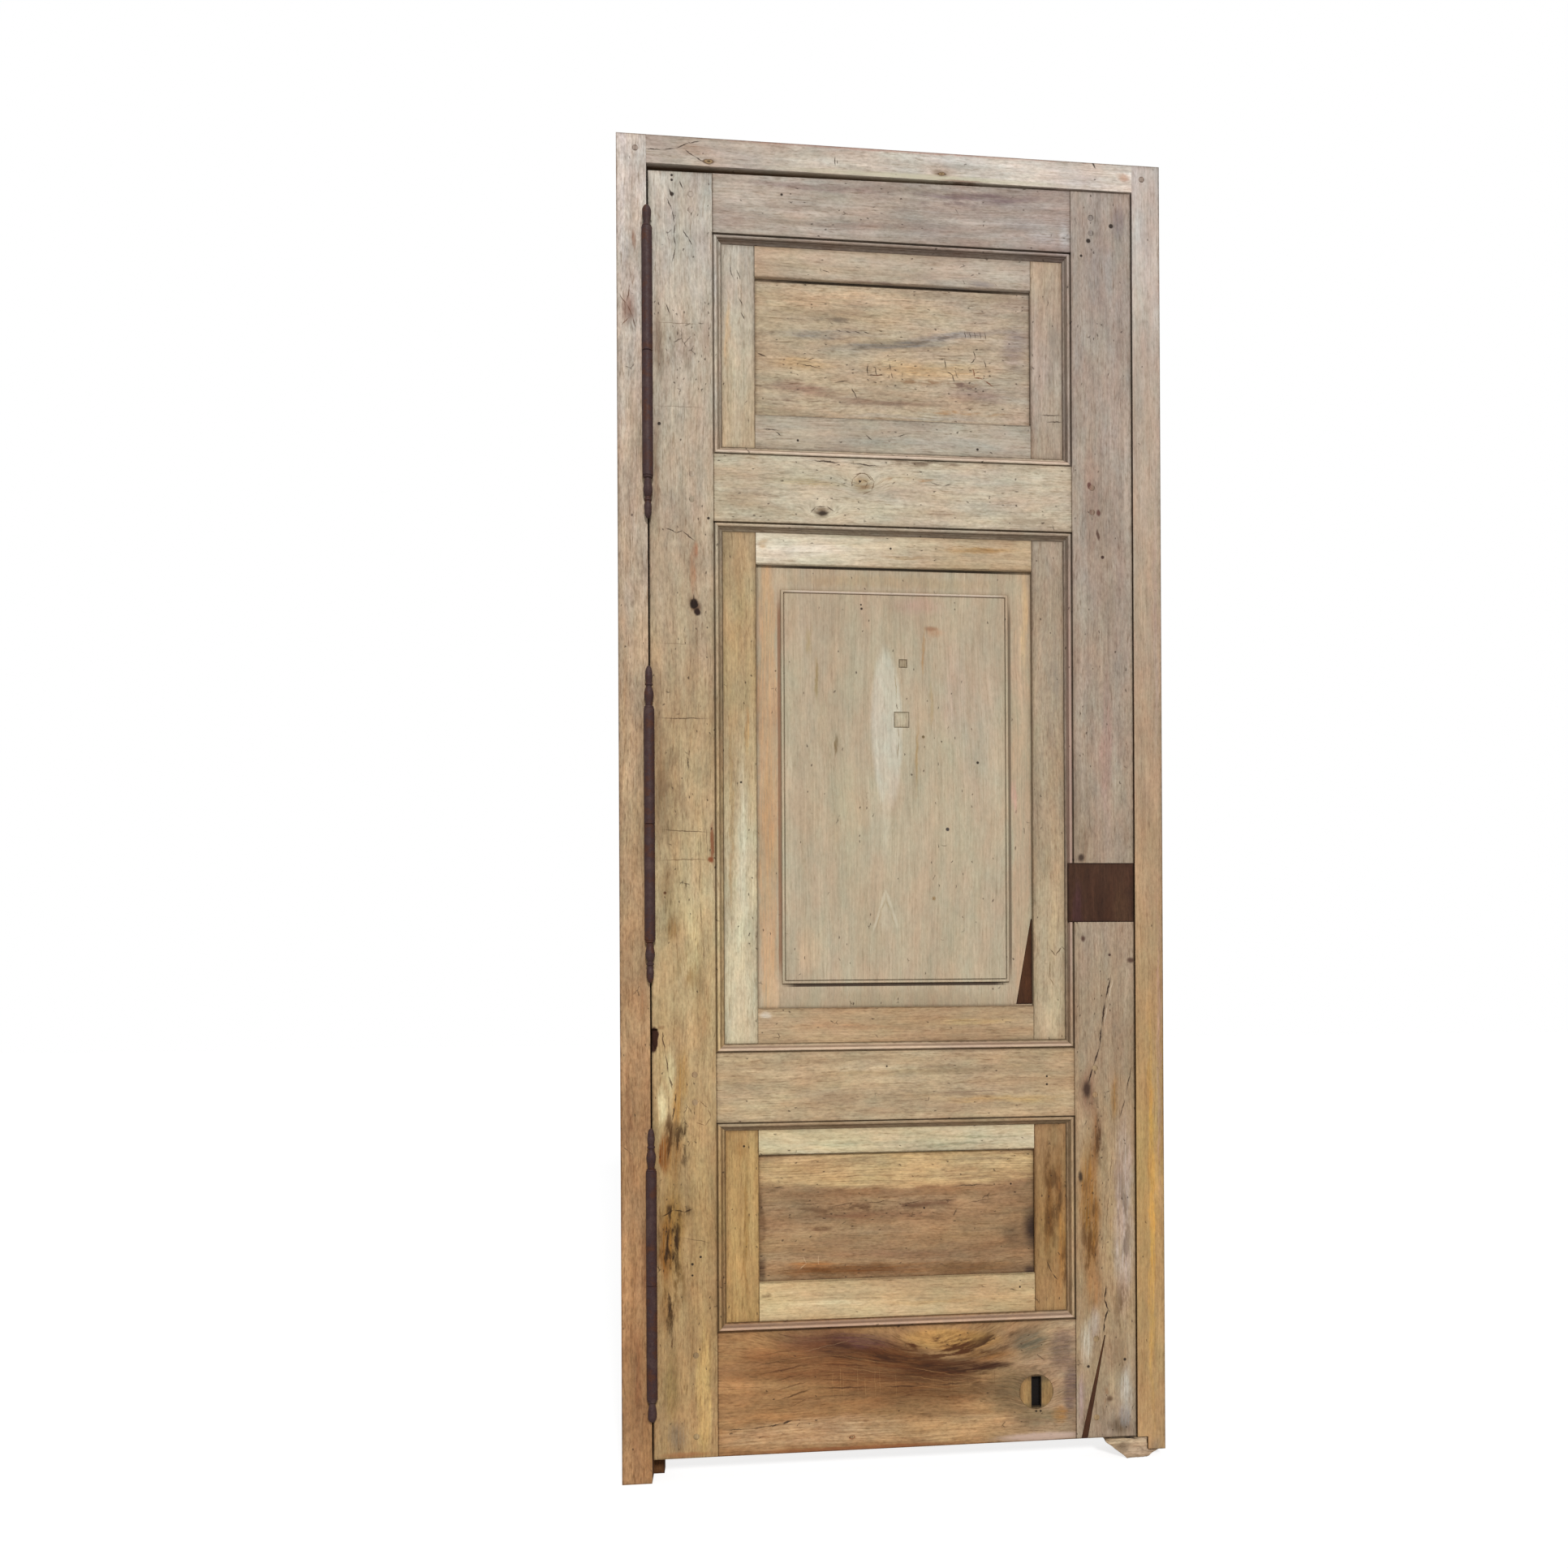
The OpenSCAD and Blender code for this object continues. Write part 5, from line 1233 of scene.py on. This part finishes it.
@dataclass
class InnerFrames(Joinery):
    """Three inner frames of flat strips, set between the mouldings and the panels."""

    tones: dict[str, tuple[str, ...]] = field(default_factory=lambda: {
        "upper_strip_left": ("#c2b092", "#bfb29b", "#b6b0a4"),
        "upper_strip_right": ("#ab9a87", "#ab9d90", "#b3a08a"),
        "upper_strip_over": ("#bea88d", "#bdae9a", "#b0a59a"),
        "upper_strip_under": ("#b7a995", "#b4ab9a", "#aea394"),
        "middle_strip_left": ("#cdc3a6", "#cfc6a8", "#c0ae8a", "#b09871", "#b09a78"),
        "middle_strip_right": ("#b5a486", "#ad9a7e", "#a6967f", "#a99a88"),
        "middle_strip_over": ("#dcd4c0", "#d2c8b0", "#bfab8c", "#bca688"),
        "middle_strip_under": ("#b6a080", "#b39876", "#b59f80"),
        "lower_strip_left": ("#b08f5c", "#b69664", "#b0905f"),
        "lower_strip_right": ("#a3845a", "#9b7a4e", "#a0805a"),
        "lower_strip_over": ("#c9b993", "#c8bb9a", "#cdbfa0"),
        "lower_strip_under": ("#c8af84", "#c9b189", "#bfa57d")})

    def build(self) -> None:
        """Dress every strip."""
        for number, (name, colours) in enumerate(self.tones.items()):
            opening = name.split("_")[0]
            upright = name.endswith(("left", "right"))
            low, high = OPENINGS[opening] if upright else (-LINE_X, LINE_X)
            places = np.linspace(low + MOULDING_W, high - MOULDING_W, len(colours))
            self.dress(name, OldWalnut(
                name, Grain.UPRIGHT if upright else Grain.LEVEL,
                tuple(Tone(float(place), colour) for place, colour in zip(places, colours)),
                18.0, 0.85, 11.0 + number, 0.020, marks=self._marks(name),
                wormy=(((280, 430), (40, 180), 0.16),) if name == "lower_strip_right" else (),
                # Painted shade with grime where each strip meets the moulding.
                rims=(opening_rim(opening, MOULDING_W, ((0.0, 0.42), (1.6, 0.78), (6.0, 0.97), (14.0, 1.0)),
                                  14.0),)))

    def _marks(self, name: str) -> tuple[Mark, ...]:
        """Give the spots of one strip.

        Args:
            name: Strip.

        Returns:
            Its marks.
        """
        fleck = Edge.FLECKED
        spots: dict[str, tuple[Mark, ...]] = {
            "upper_strip_left": (crack((-284, 2080), (-278, 2052), 2.2),
                                 crack((-272, 2070), (-264, 2050), 2.0),
                                 crack((-268, 2020), (-262, 2008), 2.2),
                                 crack((-264, 1996), (-258, 1984), 2.4),
                                 Mark((-288, 1960), (7, 90), "#c9a67c", 0.6),
                                 Mark((-266, 2030), (14, 60), "#9a978c", 0.6, edge=fleck)),
            "upper_strip_right": (crack((257, 1841), (298, 1842), 2.8),
                                  crack((268, 1829), (298, 1830), 2.8),
                                  Mark((282, 1960), (18, 70), "#8d8276", 0.6, edge=fleck)),
            "upper_strip_over": (crack((-125, 2076), (-112, 2072), 2.2),
                                 Mark((-30, 2058), (60, 7), "#8a6f66", 0.6, edge=fleck),
                                 Mark((130, 2066), (90, 12), "#8f8784", 0.7, edge=fleck)),
            "upper_strip_under": (crack((-230, 1798), (-200, 1796), 3.0),
                                  crack((-206, 1794), (-198, 1788), 2.4),
                                  crack((-50, 1793), (-40, 1786), 2.8), crack((6, 1794), (20, 1797), 2.6),
                                  hole((-168, 1780), 2.6), hole((146, 1776), 2.8),
                                  Mark((60, 1786), (200, 10), "#a8a497", 0.6)),
            "middle_strip_left": (Mark((-265, 1010), (14, 330), "#d2c9ac", 0.85, 0.3),
                                  Mark((-285, 1130), (6, 260), "#a8895c", 0.7),
                                  Mark((-272, 1480), (14, 120), "#a88e66", 0.6), hole((-268, 1190), 2.4),
                                  Mark((-258, 1280), (5, 60), "#c49a62", 0.6),
                                  crack((-291, 830), (-288, 780), 2.0, "#9a7f58", 0.6)),
            "middle_strip_right": (Mark((280, 1350), (16, 120), "#95897a", 0.6, edge=fleck),
                                   Mark((276, 930), (10, 90), "#c3b18c", 0.7),
                                   *trail(((272, 900), (282, 890), (292, 905), (298, 900)), 2.6, "#57432f"),
                                   *trail(((272, 884), (270, 850), (278, 836)), 2.2, "#7b6648")),
            "middle_strip_over": (Mark((-150, 1592), (110, 12), "#e0d9c6", 0.9, 0.3),
                                  Mark((20, 1584), (60, 4), "#a07f4e", 0.6),
                                  Mark((150, 1600), (90, 8), "#a78553", 0.8),
                                  Mark((190, 1575), (60, 5), "#6f5640", 0.8, edge=fleck),
                                  *trail(((90, 1602), (130, 1608), (176, 1598)), 1.8, "#8d6d44", 0.7),
                                  hole((-8, 1598), 2.4),
                                  Mark((-226, 1600), (12, 14), "#b59a74", 0.7)),
            "middle_strip_under": (Mark((140, 776), (90, 8), "#c9ac7a", 0.7),
                                   Mark((-80, 770), (140, 7), "#b08a66", 0.6),
                                   Mark((-225, 790), (14, 9), "#d9d0bd", 0.8)),
            "lower_strip_left": (Mark((-262, 420), (5, 170), "#8d6a38", 0.8),
                                 Mark((-284, 420), (8, 170), "#bb9a66", 0.6),
                                 Mark((-272, 560), (20, 24), "#a17c4c", 0.6), hole((-266, 566), 2.4)),
            "lower_strip_right": (Mark((268, 450), (14, 170), "#5d3f20", 0.9, 0.3, edge=fleck),
                                  Mark((288, 380), (10, 110), "#b08045", 0.8, 0.2),
                                  Mark((266, 440), (10, 130), "#7d5529", 0.85, 0.2),
                                  Mark((284, 480), (10, 90), "#80592f", 0.8, 0.2),
                                  Mark((284, 470), (16, 110), "#47301a", 0.7, 0.2, edge=fleck),
                                  Mark((264, 350), (12, 70), "#4a3018", 0.75, 0.2, edge=fleck),
                                  *trail(((262, 352), (272, 330), (282, 318)), 2.6),
                                  Mark((278, 570), (24, 24), "#a98a62", 0.8, 0.2),
                                  Mark((292, 340), (8, 70), "#5a3a1c", 0.8, 0.2, edge=fleck)),
            "lower_strip_over": (Mark((-20, 566), (220, 6), "#b2ab8c", 0.8),
                                 Mark((90, 560), (140, 4), "#8f8a6c", 0.7, 0.2, 1.0),
                                 Mark((140, 574), (120, 3), "#97906f", 0.7, 0.2, -1.0),
                                 Mark((60, 545), (260, 5), "#c9a48c", 0.8, edge=Edge.CRACK),
                                 Mark((-140, 552), (90, 6), "#e0d6b8", 0.7)),
            "lower_strip_under": (Mark((-230, 311), (14, 8), "#5d4427", 0.9, edge=fleck),
                                  Mark((-120, 292), (90, 8), "#d9c69c", 0.7),
                                  Mark((60, 288), (120, 7), "#b99a6c", 0.6),
                                  crack((196, 306), (206, 304), 2.4), hole((214, 308), 2.2))}
        return spots.get(name, ())


@dataclass
class Panels(Joinery):
    """Three panels: level grain above and below, and the raised field in the middle."""

    field_half: float = 199.0

    def build(self) -> None:
        """Dress the panels."""
        self._upper()
        self._middle()
        self._lower()

    def _border(self, name: str) -> Rim:
        """Give the painted shade, with grime, where a panel meets its inner frame."""
        low, high = self._seen(name)
        return Rim(low, high, ((0.0, 0.36), (1.6, 0.72), (5.0, 0.96), (16.0, 1.0)), 16.0)

    @staticmethod
    def _seen(name: str) -> tuple[Point, Point]:
        """Measure what the strips leave in view of a panel.

        Args:
            name: Opening.

        Returns:
            Lowest and highest corner, x and z.
        """
        left, right, over, under = (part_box(f"{name}_strip_{side}")
                                    for side in ("left", "right", "over", "under"))
        return (left[1][0] / MM, under[1][2] / MM), (right[0][0] / MM, over[0][2] / MM)

    def _shade(self, name: str) -> Mark:
        """Give the painted shadow, with grime, under the strip over a panel."""
        top = self._seen(name)[1][1]
        deep = {"upper": 3.2, "middle": 3.2, "lower": 1.6}[name]
        return Mark((0.0, top - deep / 2), (250.0, deep), "#1c120c", 0.8, 0.6, edge=Edge.SQUARE)

    def _upper(self) -> None:
        """Dress the upper panel, streaked and cracked."""
        flame, fleck = Edge.FLAME, Edge.FLECKED
        self.dress("upper_panel", OldWalnut(
            "upper_panel", Grain.LEVEL, (Tone(-250, "#bba98e"), Tone(0, "#b8a78e"), Tone(250, "#b3a390")),
            20.0, 1.1, 31.0, 0.03,
            wormy=(((-20, 1905), (90, 45), 0.14), ((150, 1915), (80, 60), 0.16),
                   ((-180, 1920), (60, 30), 0.06)),
            rims=(self._border("upper"),),
            marks=(
                self._shade("upper"), Mark((-60, 2030), (190, 20), "#c9b094", 0.8, 0.3),
                Mark((150, 2020), (90, 26), "#bcaa94", 0.6),
                Mark((-120, 1968), (140, 12), "#8f877c", 0.9, 0.2, 2.0),
                Mark((0, 1956), (150, 11), "#8a857e", 0.9, 0.2, 5.0),
                Mark((110, 1978), (120, 9), "#918a84", 0.85, 0.2, 8.0),
                Mark((215, 1960), (30, 60), "#978b84", 0.8, 0.2),
                Mark((-60, 1950), (60, 5), "#5f5244", 0.75, 0.2, 3.0, fleck),
                Mark((70, 1968), (60, 5), "#605347", 0.75, 0.2, 9.0, fleck),
                Mark((-120, 1992), (120, 7), "#6a5d50", 0.75, 0.2, 2.0, fleck),
                Mark((60, 1892), (170, 8), "#86603f", 0.7, 0.2, edge=fleck),
                Mark((-150, 1850), (100, 9), "#695042", 0.75, 0.2, edge=fleck),
                Mark((180, 1930), (60, 34), "#77644f", 0.6, 0.1, edge=fleck),
                Mark((60, 1915), (150, 26), "#c9a97e", 0.75, 0.2),
                Mark((-160, 1915), (80, 14), "#bfa27a", 0.7),
                Mark((-160, 1872), (100, 14), "#8f7361", 0.85, 0.2, -3.0, flame),
                Mark((-20, 1856), (140, 8), "#8d705c", 0.75, 0.2, -3.0, flame),
                Mark((150, 1872), (80, 18), "#a08c80", 0.7),
                Mark((120, 1842), (110, 6), "#a5763f", 0.6, edge=fleck),
                Mark((40, 1829), (220, 5), "#b0a79a", 0.6),
                Mark((120, 1886), (30, 16), "#5d4a4a", 0.8, edge=fleck),
                crack((-236, 1931), (-224, 1926), 4.0),
                *trail(((-73, 1876), (-68, 1868), (-66, 1862)), 3.2),
                *trail(((-46, 1920), (-46, 1902), (-30, 1901), (-32, 1914)), 2.8),
                crack((-40, 1902), (-16, 1902), 2.6, "#5a3018"),
                crack((-8, 1922), (-6, 1912), 2.6), crack((-4, 1906), (-2, 1898), 2.6),
                *trail(((80, 1934), (90, 1936), (92, 1918)), 2.6),
                *trail(((94, 1914), (104, 1908), (106, 1896)), 2.6),
                *trail(((140, 1952), (144, 1938), (136, 1930)), 2.6),
                *trail(((160, 1938), (164, 1922)), 2.4),
                *trail(((140, 1922), (142, 1906), (158, 1902), (176, 1890)), 2.8, "#6b3414"),
                crack((-166, 1915), (-130, 1911), 2.4), crack((-150, 1924), (-138, 1926), 2.4),
                crack((-105, 1886), (-80, 1890), 2.0),
                *(crack((125 + 9 * k, 1986), (127 + 9 * k, 1972), 1.8) for k in range(5)),
                *(crack((-100 + 16 * k, 1976), (-92 + 16 * k, 1974), 2.2) for k in range(4)))))

    def _middle(self) -> None:
        """Dress the middle panel, with its pale flame in the raised field."""
        fleck = Edge.FLECKED
        self.dress("middle_panel", OldWalnut(
            "middle_panel", Grain.UPRIGHT,
            (Tone(800, "#b6a78e"), Tone(1180, "#b5a88f"), Tone(1560, "#b2a28a")),
            26.0, 0.45, 32.0, 0.012, rims=(self._border("middle"), self._field_rim()),
            marks=(
                self._shade("middle"), Mark((-222, 1180), (20, 520), "#bf9f7b", 0.9, 0.7),
                Mark((-222, 1120), (14, 170), "#c19669", 0.55),
                Mark((-214, 820), (14, 60), "#cdb392", 0.7),
                Mark((222, 1180), (20, 520), "#b9a489", 0.85, 0.7),
                Mark((140, 1300), (60, 260), "#b8ab98", 0.5, 0.2),
                Mark((228, 1480), (10, 110), "#d3b78a", 0.7), Mark((210, 1168), (9, 40), "#c99f92", 0.7),
                Mark((-16, 1285), (30, 158), "#c1baa8", 0.9, 0.74, 1.0, Edge.SMOOTH),
                Mark((-18, 1120), (14, 90), "#bfb69f", 0.7, 0.2, edge=Edge.SMOOTH),
                Mark((0, 812), (262, 30), "#a39379", 0.8, 0.3),
                Mark((0, 1542), (262, 16), "#ab9678", 0.7, 0.3),
                *self._field_shade_and_highlight(),
                *trail(((-19, 1004), (-30, 972), (-42, 932)), 7.0, "#c9bfa8", 0.55),
                *trail(((-19, 1004), (-8, 972), (2, 938)), 7.0, "#c9bfa8", 0.55),
                *trail(((-19, 990), (-28, 966), (-36, 940)), 2.2, "#9d8a66", 0.6),
                *trail(((-19, 990), (-11, 966), (-4, 944)), 2.2, "#9d8a66", 0.6),
                Mark((-20, 958), (14, 34), "#c6bda6", 0.6, 0.3, edge=Edge.SMOOTH),
                Mark((62, 1461), (16, 6), "#8a5f42", 0.6, 0.2, edge=Edge.CRACK),
                Mark((66, 1456), (22, 12), "#b08a6a", 0.6),
                Mark((-106, 1256), (5, 26), "#6f5c3a", 0.85, 0.3),
                Mark((-120, 1250), (12, 24), "#7d6a46", 0.7, edge=fleck),
                Mark((-136, 1370), (4, 50), "#93804f", 0.75),
                Mark((-150, 1440), (8, 50), "#a28f66", 0.6, edge=fleck),
                Mark((36, 1240), (4, 90), "#a0865a", 0.7), Mark((48, 1420), (3, 60), "#a8824e", 0.7),
                Mark((64, 1330), (4, 60), "#a58d62", 0.5),
                hole((144, 1228), 3.0), hole((90, 1111), 4.0, "#3a3434"),
                Mark((140, 1220), (10, 20), "#8f7a5c", 0.6, edge=fleck),
                *knot((65, 991), (4, 4), "#8a7454"), hole((48, 1272), 3.2, "#6b5a3c"),
                Mark((-163, 1050), (7, 30), "#8a7850", 0.7, edge=fleck),
                Mark((-150, 900), (40, 60), "#cdb898", 0.5), Mark((100, 1350), (30, 120), "#bba594", 0.5),
                Mark((-90, 1120), (40, 160), "#b1a68a", 0.5),
                Mark((40, 1500), (60, 20), "#b59a8a", 0.6), hole((-59, 1493), 2.6), hole((-60, 1500), 2.0),
                crack((-2, 1390), (2, 1330), 1.8, "#8d7850", 0.7),
                *trail(((0, 1330), (4, 1318)), 1.6),
                *trail(((4, 1288), (5, 1270), (2, 1230)), 1.8, "#7b6442", 0.8))))

    def _lower(self) -> None:
        """Dress the lower panel, yellow above and brown below."""
        fleck = Edge.FLECKED
        self.dress("lower_panel", OldWalnut(
            "lower_panel", Grain.LEVEL, (Tone(-250, "#9f8260"), Tone(0, "#a08362"), Tone(250, "#977a5a")),
            18.0, 1.1, 33.0, 0.03, rims=(self._border("lower"),), wormy=(((-20, 450), (200, 50), 0.06),),
            marks=(
                self._shade("lower"), Mark((0, 522), (330, 40), "#c6ab7e", 1.0, 0.75),
                Mark((0, 478), (280, 12), "#8b6a4a", 0.8, 0.3),
                Mark((30, 458), (180, 8), "#6d4d38", 0.85, 0.2, edge=fleck),
                Mark((-60, 440), (150, 10), "#86634a", 0.75),
                Mark((-60, 452), (170, 9), "#543824", 0.85, 0.2, edge=fleck),
                Mark((120, 436), (110, 8), "#5a3d29", 0.8, 0.2, edge=fleck),
                Mark((-140, 418), (90, 7), "#64452e", 0.75, 0.2, edge=fleck),
                Mark((60, 400), (200, 14), "#a88a66", 0.6), Mark((0, 372), (260, 9), "#8a674a", 0.6),
                Mark((0, 346), (260, 18), "#80562f", 0.6, 0.3),
                Mark((-100, 345), (170, 12), "#744b28", 0.9, 0.3),
                Mark((120, 345), (120, 12), "#80603f", 0.8),
                Mark((-150, 356), (60, 8), "#a9713f", 0.8),
                Mark((238, 410), (26, 52), "#352823", 0.95, 0.1, edge=Edge.SMOOTH),
                Mark((205, 395), (28, 24), "#5f4a38", 0.7), Mark((232, 335), (18, 18), "#47332a", 0.9),
                Mark((-236, 352), (10, 34), "#4f3b2c", 0.85),
                Mark((-236, 440), (7, 70), "#6b5037", 0.7),
                *trail(((-166, 374), (-160, 360), (-170, 350)), 2.6, "#bfa07e", 0.6),
                *trail(((-140, 374), (-138, 356)), 2.6, "#bfa07e", 0.55),
                *(crack((-180 + 60 * k, 462 - 6 * (k % 2)), (-130 + 60 * k, 464), 2.0, "#4d3626")
                  for k in range(6)),
                crack((90, 486), (160, 489), 2.2), crack((-215, 492), (-200, 494), 2.6),
                hole((46, 450), 2.4), hole((200, 488), 2.2))))

    def _field_shade_and_highlight(self) -> tuple[Mark, ...]:
        """Give the painted shadow under the raised field, painted shade along its right side, a brown tint
        along its left side and a painted highlight along its top.
        """
        sides = (((0.0, 841.0), (202.0, 3.0), "#33221a", 0.9),
                 ((202.0, 1183.0), (2.5, 344.0), "#574838", 0.7),
                 ((-202.0, 1183.0), (3.0, 344.0), "#83563a", 0.7),
                 ((0.0, 1520.0), (200.0, 2.0), "#d3c1b2", 0.6))
        return tuple(Mark(at, half, tint, strength, 0.85, edge=Edge.SQUARE) for at, half, tint,
                     strength in sides)

    def _field_rim(self) -> Rim:
        """Give the painted shade, with grime, at the raised field's border and beside its bead, and a
        painted highlight on the bead.
        """
        return Rim((-self.field_half, 843.5), (self.field_half, 1523.5),
                   ((-6.0, 1.0), (-1.5, 0.9), (0.0, 0.7), (1.5, 1.0), (4.0, 1.04), (5.6, 0.8), (7.0, 0.97),
                    (9.0, 1.0)), 9.0, 1.0)


@dataclass
class Repairs(Joinery):
    """Later patches, fillets and plugs of darker walnut."""

    def build(self) -> None:
        """Dress the repairs."""
        self.dress("lock_patch", OldWalnut(
            "lock_patch", Grain.UPRIGHT, (Tone(890, "#40281b"), Tone(1010, "#482f21")), 9.0, 1.0, 41.0,
            0.004,
            marks=(Mark((318, 948), (12, 90), "#4a2f2e", 0.9, 0.4),
                   Mark((398, 948), (20, 90), "#523826", 0.8, 0.3),
                   Mark((360, 948), (10, 90), "#3a2419", 0.7, 0.3))), 0.5)
        for number, (name, low,
                     high) in enumerate((("stile_fillet", 40.0, 240.0), ("panel_fillet", 780.0, 960.0))):
            self.dress(name, OldWalnut(name, Grain.UPRIGHT, (Tone(low, "#442918"), Tone(high, "#4d301b")),
                                       6.0, 0.8, 42.0 + number, 0.004), 0.4)
        plugs = (("small_plug", 1390.0, 1410.0, "#ab9c82"), ("large_plug", 1280.0, 1320.0, "#bfb298"),
                 ("round_plug", 90.0, 160.0, "#96794f"))
        # The slot: painted shade for its dark inside, drawn on the flat plug, with darker tints round it.
        slot = (Mark((240.5, 126), (9.5, 29), "#14100d", 1.0, 0.9, edge=Edge.SQUARE),
                Mark((240, 126), (17, 38), "#3f3328", 0.6, 0.3),
                Mark((240, 152), (40, 13), "#5d4a34", 0.9, 0.3),
                Mark((240, 100), (40, 11), "#6f5c40", 0.9, 0.3))
        for number, (name, low, high, colour) in enumerate(plugs):
            self.dress(name,
                       OldWalnut(name, Grain.UPRIGHT, (Tone(low, colour), Tone(high, colour)), 8.0, 0.8,
                                 45.0 + number,
                                       0.01, marks=slot if name == "round_plug" else ()), 0.4)


@dataclass
class Hinges(Joinery):
    """Three forged hinges with long barrels and turned finials."""

    def build(self) -> None:
        """Dress every piece of iron."""
        iron = OldIron().material()
        parts = ("leaf_knuckle", "frame_knuckle", "pin", "upper_finial", "lower_finial")
        names = [f"{place}_hinge_{part}" for place in ("top", "middle", "bottom") for part in parts]
        for name in (*names, "leaf_wing_screws", "frame_wing_screws"):
            self.paint(name, iron)
            LOG.info("dressed %s", name)


@dataclass
class Studio:
    """Plain pale floor, soft light and the photograph's camera.

    Attributes:
        eye: Place of the camera, in metres.
        turn: Its turn, in degrees.
        lens: Its focal length on a sensor of 36 mm.
        shift: Its shift.
        fill: Strength of the room's light.
        key: Strength of the lamp.
        slant: Turn of the lamp, in degrees.
        softness: Width of the lamp, in degrees.
        glow: What the floor adds to the light on it, to the camera alone.
        floor_half: Half the floor's side, in metres.
    """

    eye: Triple = (-0.2573, -2.22175, 0.9234)
    turn: Triple = (90.049, 0.2851, -6.4579)
    lens: float = 29.36
    shift: Point = (-0.0694, 0.0969)
    fill: float = 0.38
    key: float = 2.34
    slant: Triple = (57.0, 0.0, 6.0)
    softness: float = 9.0
    glow: float = 0.75
    floor_half: float = 9.0

    def build(self) -> None:
        """Set the camera, the floor, the world and the lamp."""
        self._camera()
        self._floor()
        self._world()
        self._lamp()
        bpy.context.scene.view_settings.view_transform = "Standard"

    def _camera(self) -> None:
        """Stand the camera where the photograph was taken."""
        view = bpy.data.cameras.new("camera")
        view.lens, view.sensor_width = self.lens, 36.0
        view.shift_x, view.shift_y = self.shift
        view.clip_end = 100.0
        stand = bpy.data.objects.new("camera", view)
        stand.location = self.eye
        stand.rotation_euler = tuple(math.radians(v) for v in self.turn)
        bpy.context.scene.collection.objects.link(stand)
        bpy.context.scene.camera = stand

    def _floor(self) -> None:
        """Lay a pale floor that is white to the camera but for the door's shadow."""
        made = blank("pale_floor")
        tree = made.node_tree
        matt = put(tree, "BsdfDiffuse", {"Color": linear("#e8e6e3")})
        shade = put(tree, "BsdfDiffuse", {"Color": linear("#a8a8a8")})
        glow = put(tree, "Emission", {"Color": (1.0, 1.0, 1.0, 1.0), "Strength": self.glow})
        both = put(tree, "AddShader", {0: shade.outputs[0], 1: glow.outputs[0]})
        rays = put(tree, "LightPath")
        seen = put(tree, "MixShader",
                   {0: rays.outputs["Is Camera Ray"], 1: matt.outputs[0], 2: both.outputs[0]})
        put(tree, "OutputMaterial", {"Surface": seen.outputs[0]})
        half = self.floor_half
        mesh = bpy.data.meshes.new("floor")
        mesh.from_pydata([(-half, -half, 0), (half, -half, 0), (half, half, 0), (-half, half, 0)], [],
                         [(0, 1, 2, 3)])
        mesh.materials.append(made)
        floor = bpy.data.objects.new("floor", mesh)
        bpy.context.scene.collection.objects.link(floor)

    def _world(self) -> None:
        """Make the surroundings white to the eye and a soft fill for the wood."""
        world = bpy.data.worlds.new("soft_room")
        bpy.context.scene.world = world
        world.use_nodes = True
        tree = world.node_tree
        tree.nodes.clear()
        rays = put(tree, "LightPath")
        seen = put(tree, "Math", {0: rays.outputs["Is Camera Ray"], 1: rays.outputs["Is Glossy Ray"]},
                   operation="MAXIMUM")
        seen = put(tree, "Math", {0: seen.outputs[0], 1: rays.outputs["Is Transmission Ray"]},
                   operation="MAXIMUM")
        level = put(tree, "MapRange", {0: seen.outputs[0], 3: self.fill, 4: 1.0})
        sky = put(tree, "Background", {"Color": (1.0, 1.0, 1.0, 1.0), "Strength": level.outputs[0]})
        put(tree, "OutputWorld", {"Surface": sky.outputs[0]})

    def _lamp(self) -> None:
        """Light the door evenly from above and in front, with soft shadows."""
        lamp = bpy.data.lights.new("soft_daylight", "SUN")
        lamp.energy = self.key
        lamp.angle = math.radians(self.softness)
        hung = bpy.data.objects.new("soft_daylight", lamp)
        hung.rotation_euler = tuple(math.radians(v) for v in self.slant)
        hung.location = (0.0, -3.0, 4.0)
        bpy.context.scene.collection.objects.link(hung)


def main() -> None:
    """Build the door's looks in order."""
    logging.basicConfig(level=logging.INFO, format="%(name)s: %(message)s")
    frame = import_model()
    nodes = frame["nodes"]
    for part in (DoorFrame(nodes), LeafBoards(nodes), InnerFrames(nodes), Panels(nodes), Repairs(nodes),
                 Hinges(nodes)):
        part.build()
    Studio().build()


if __name__ == "__main__":
    main()
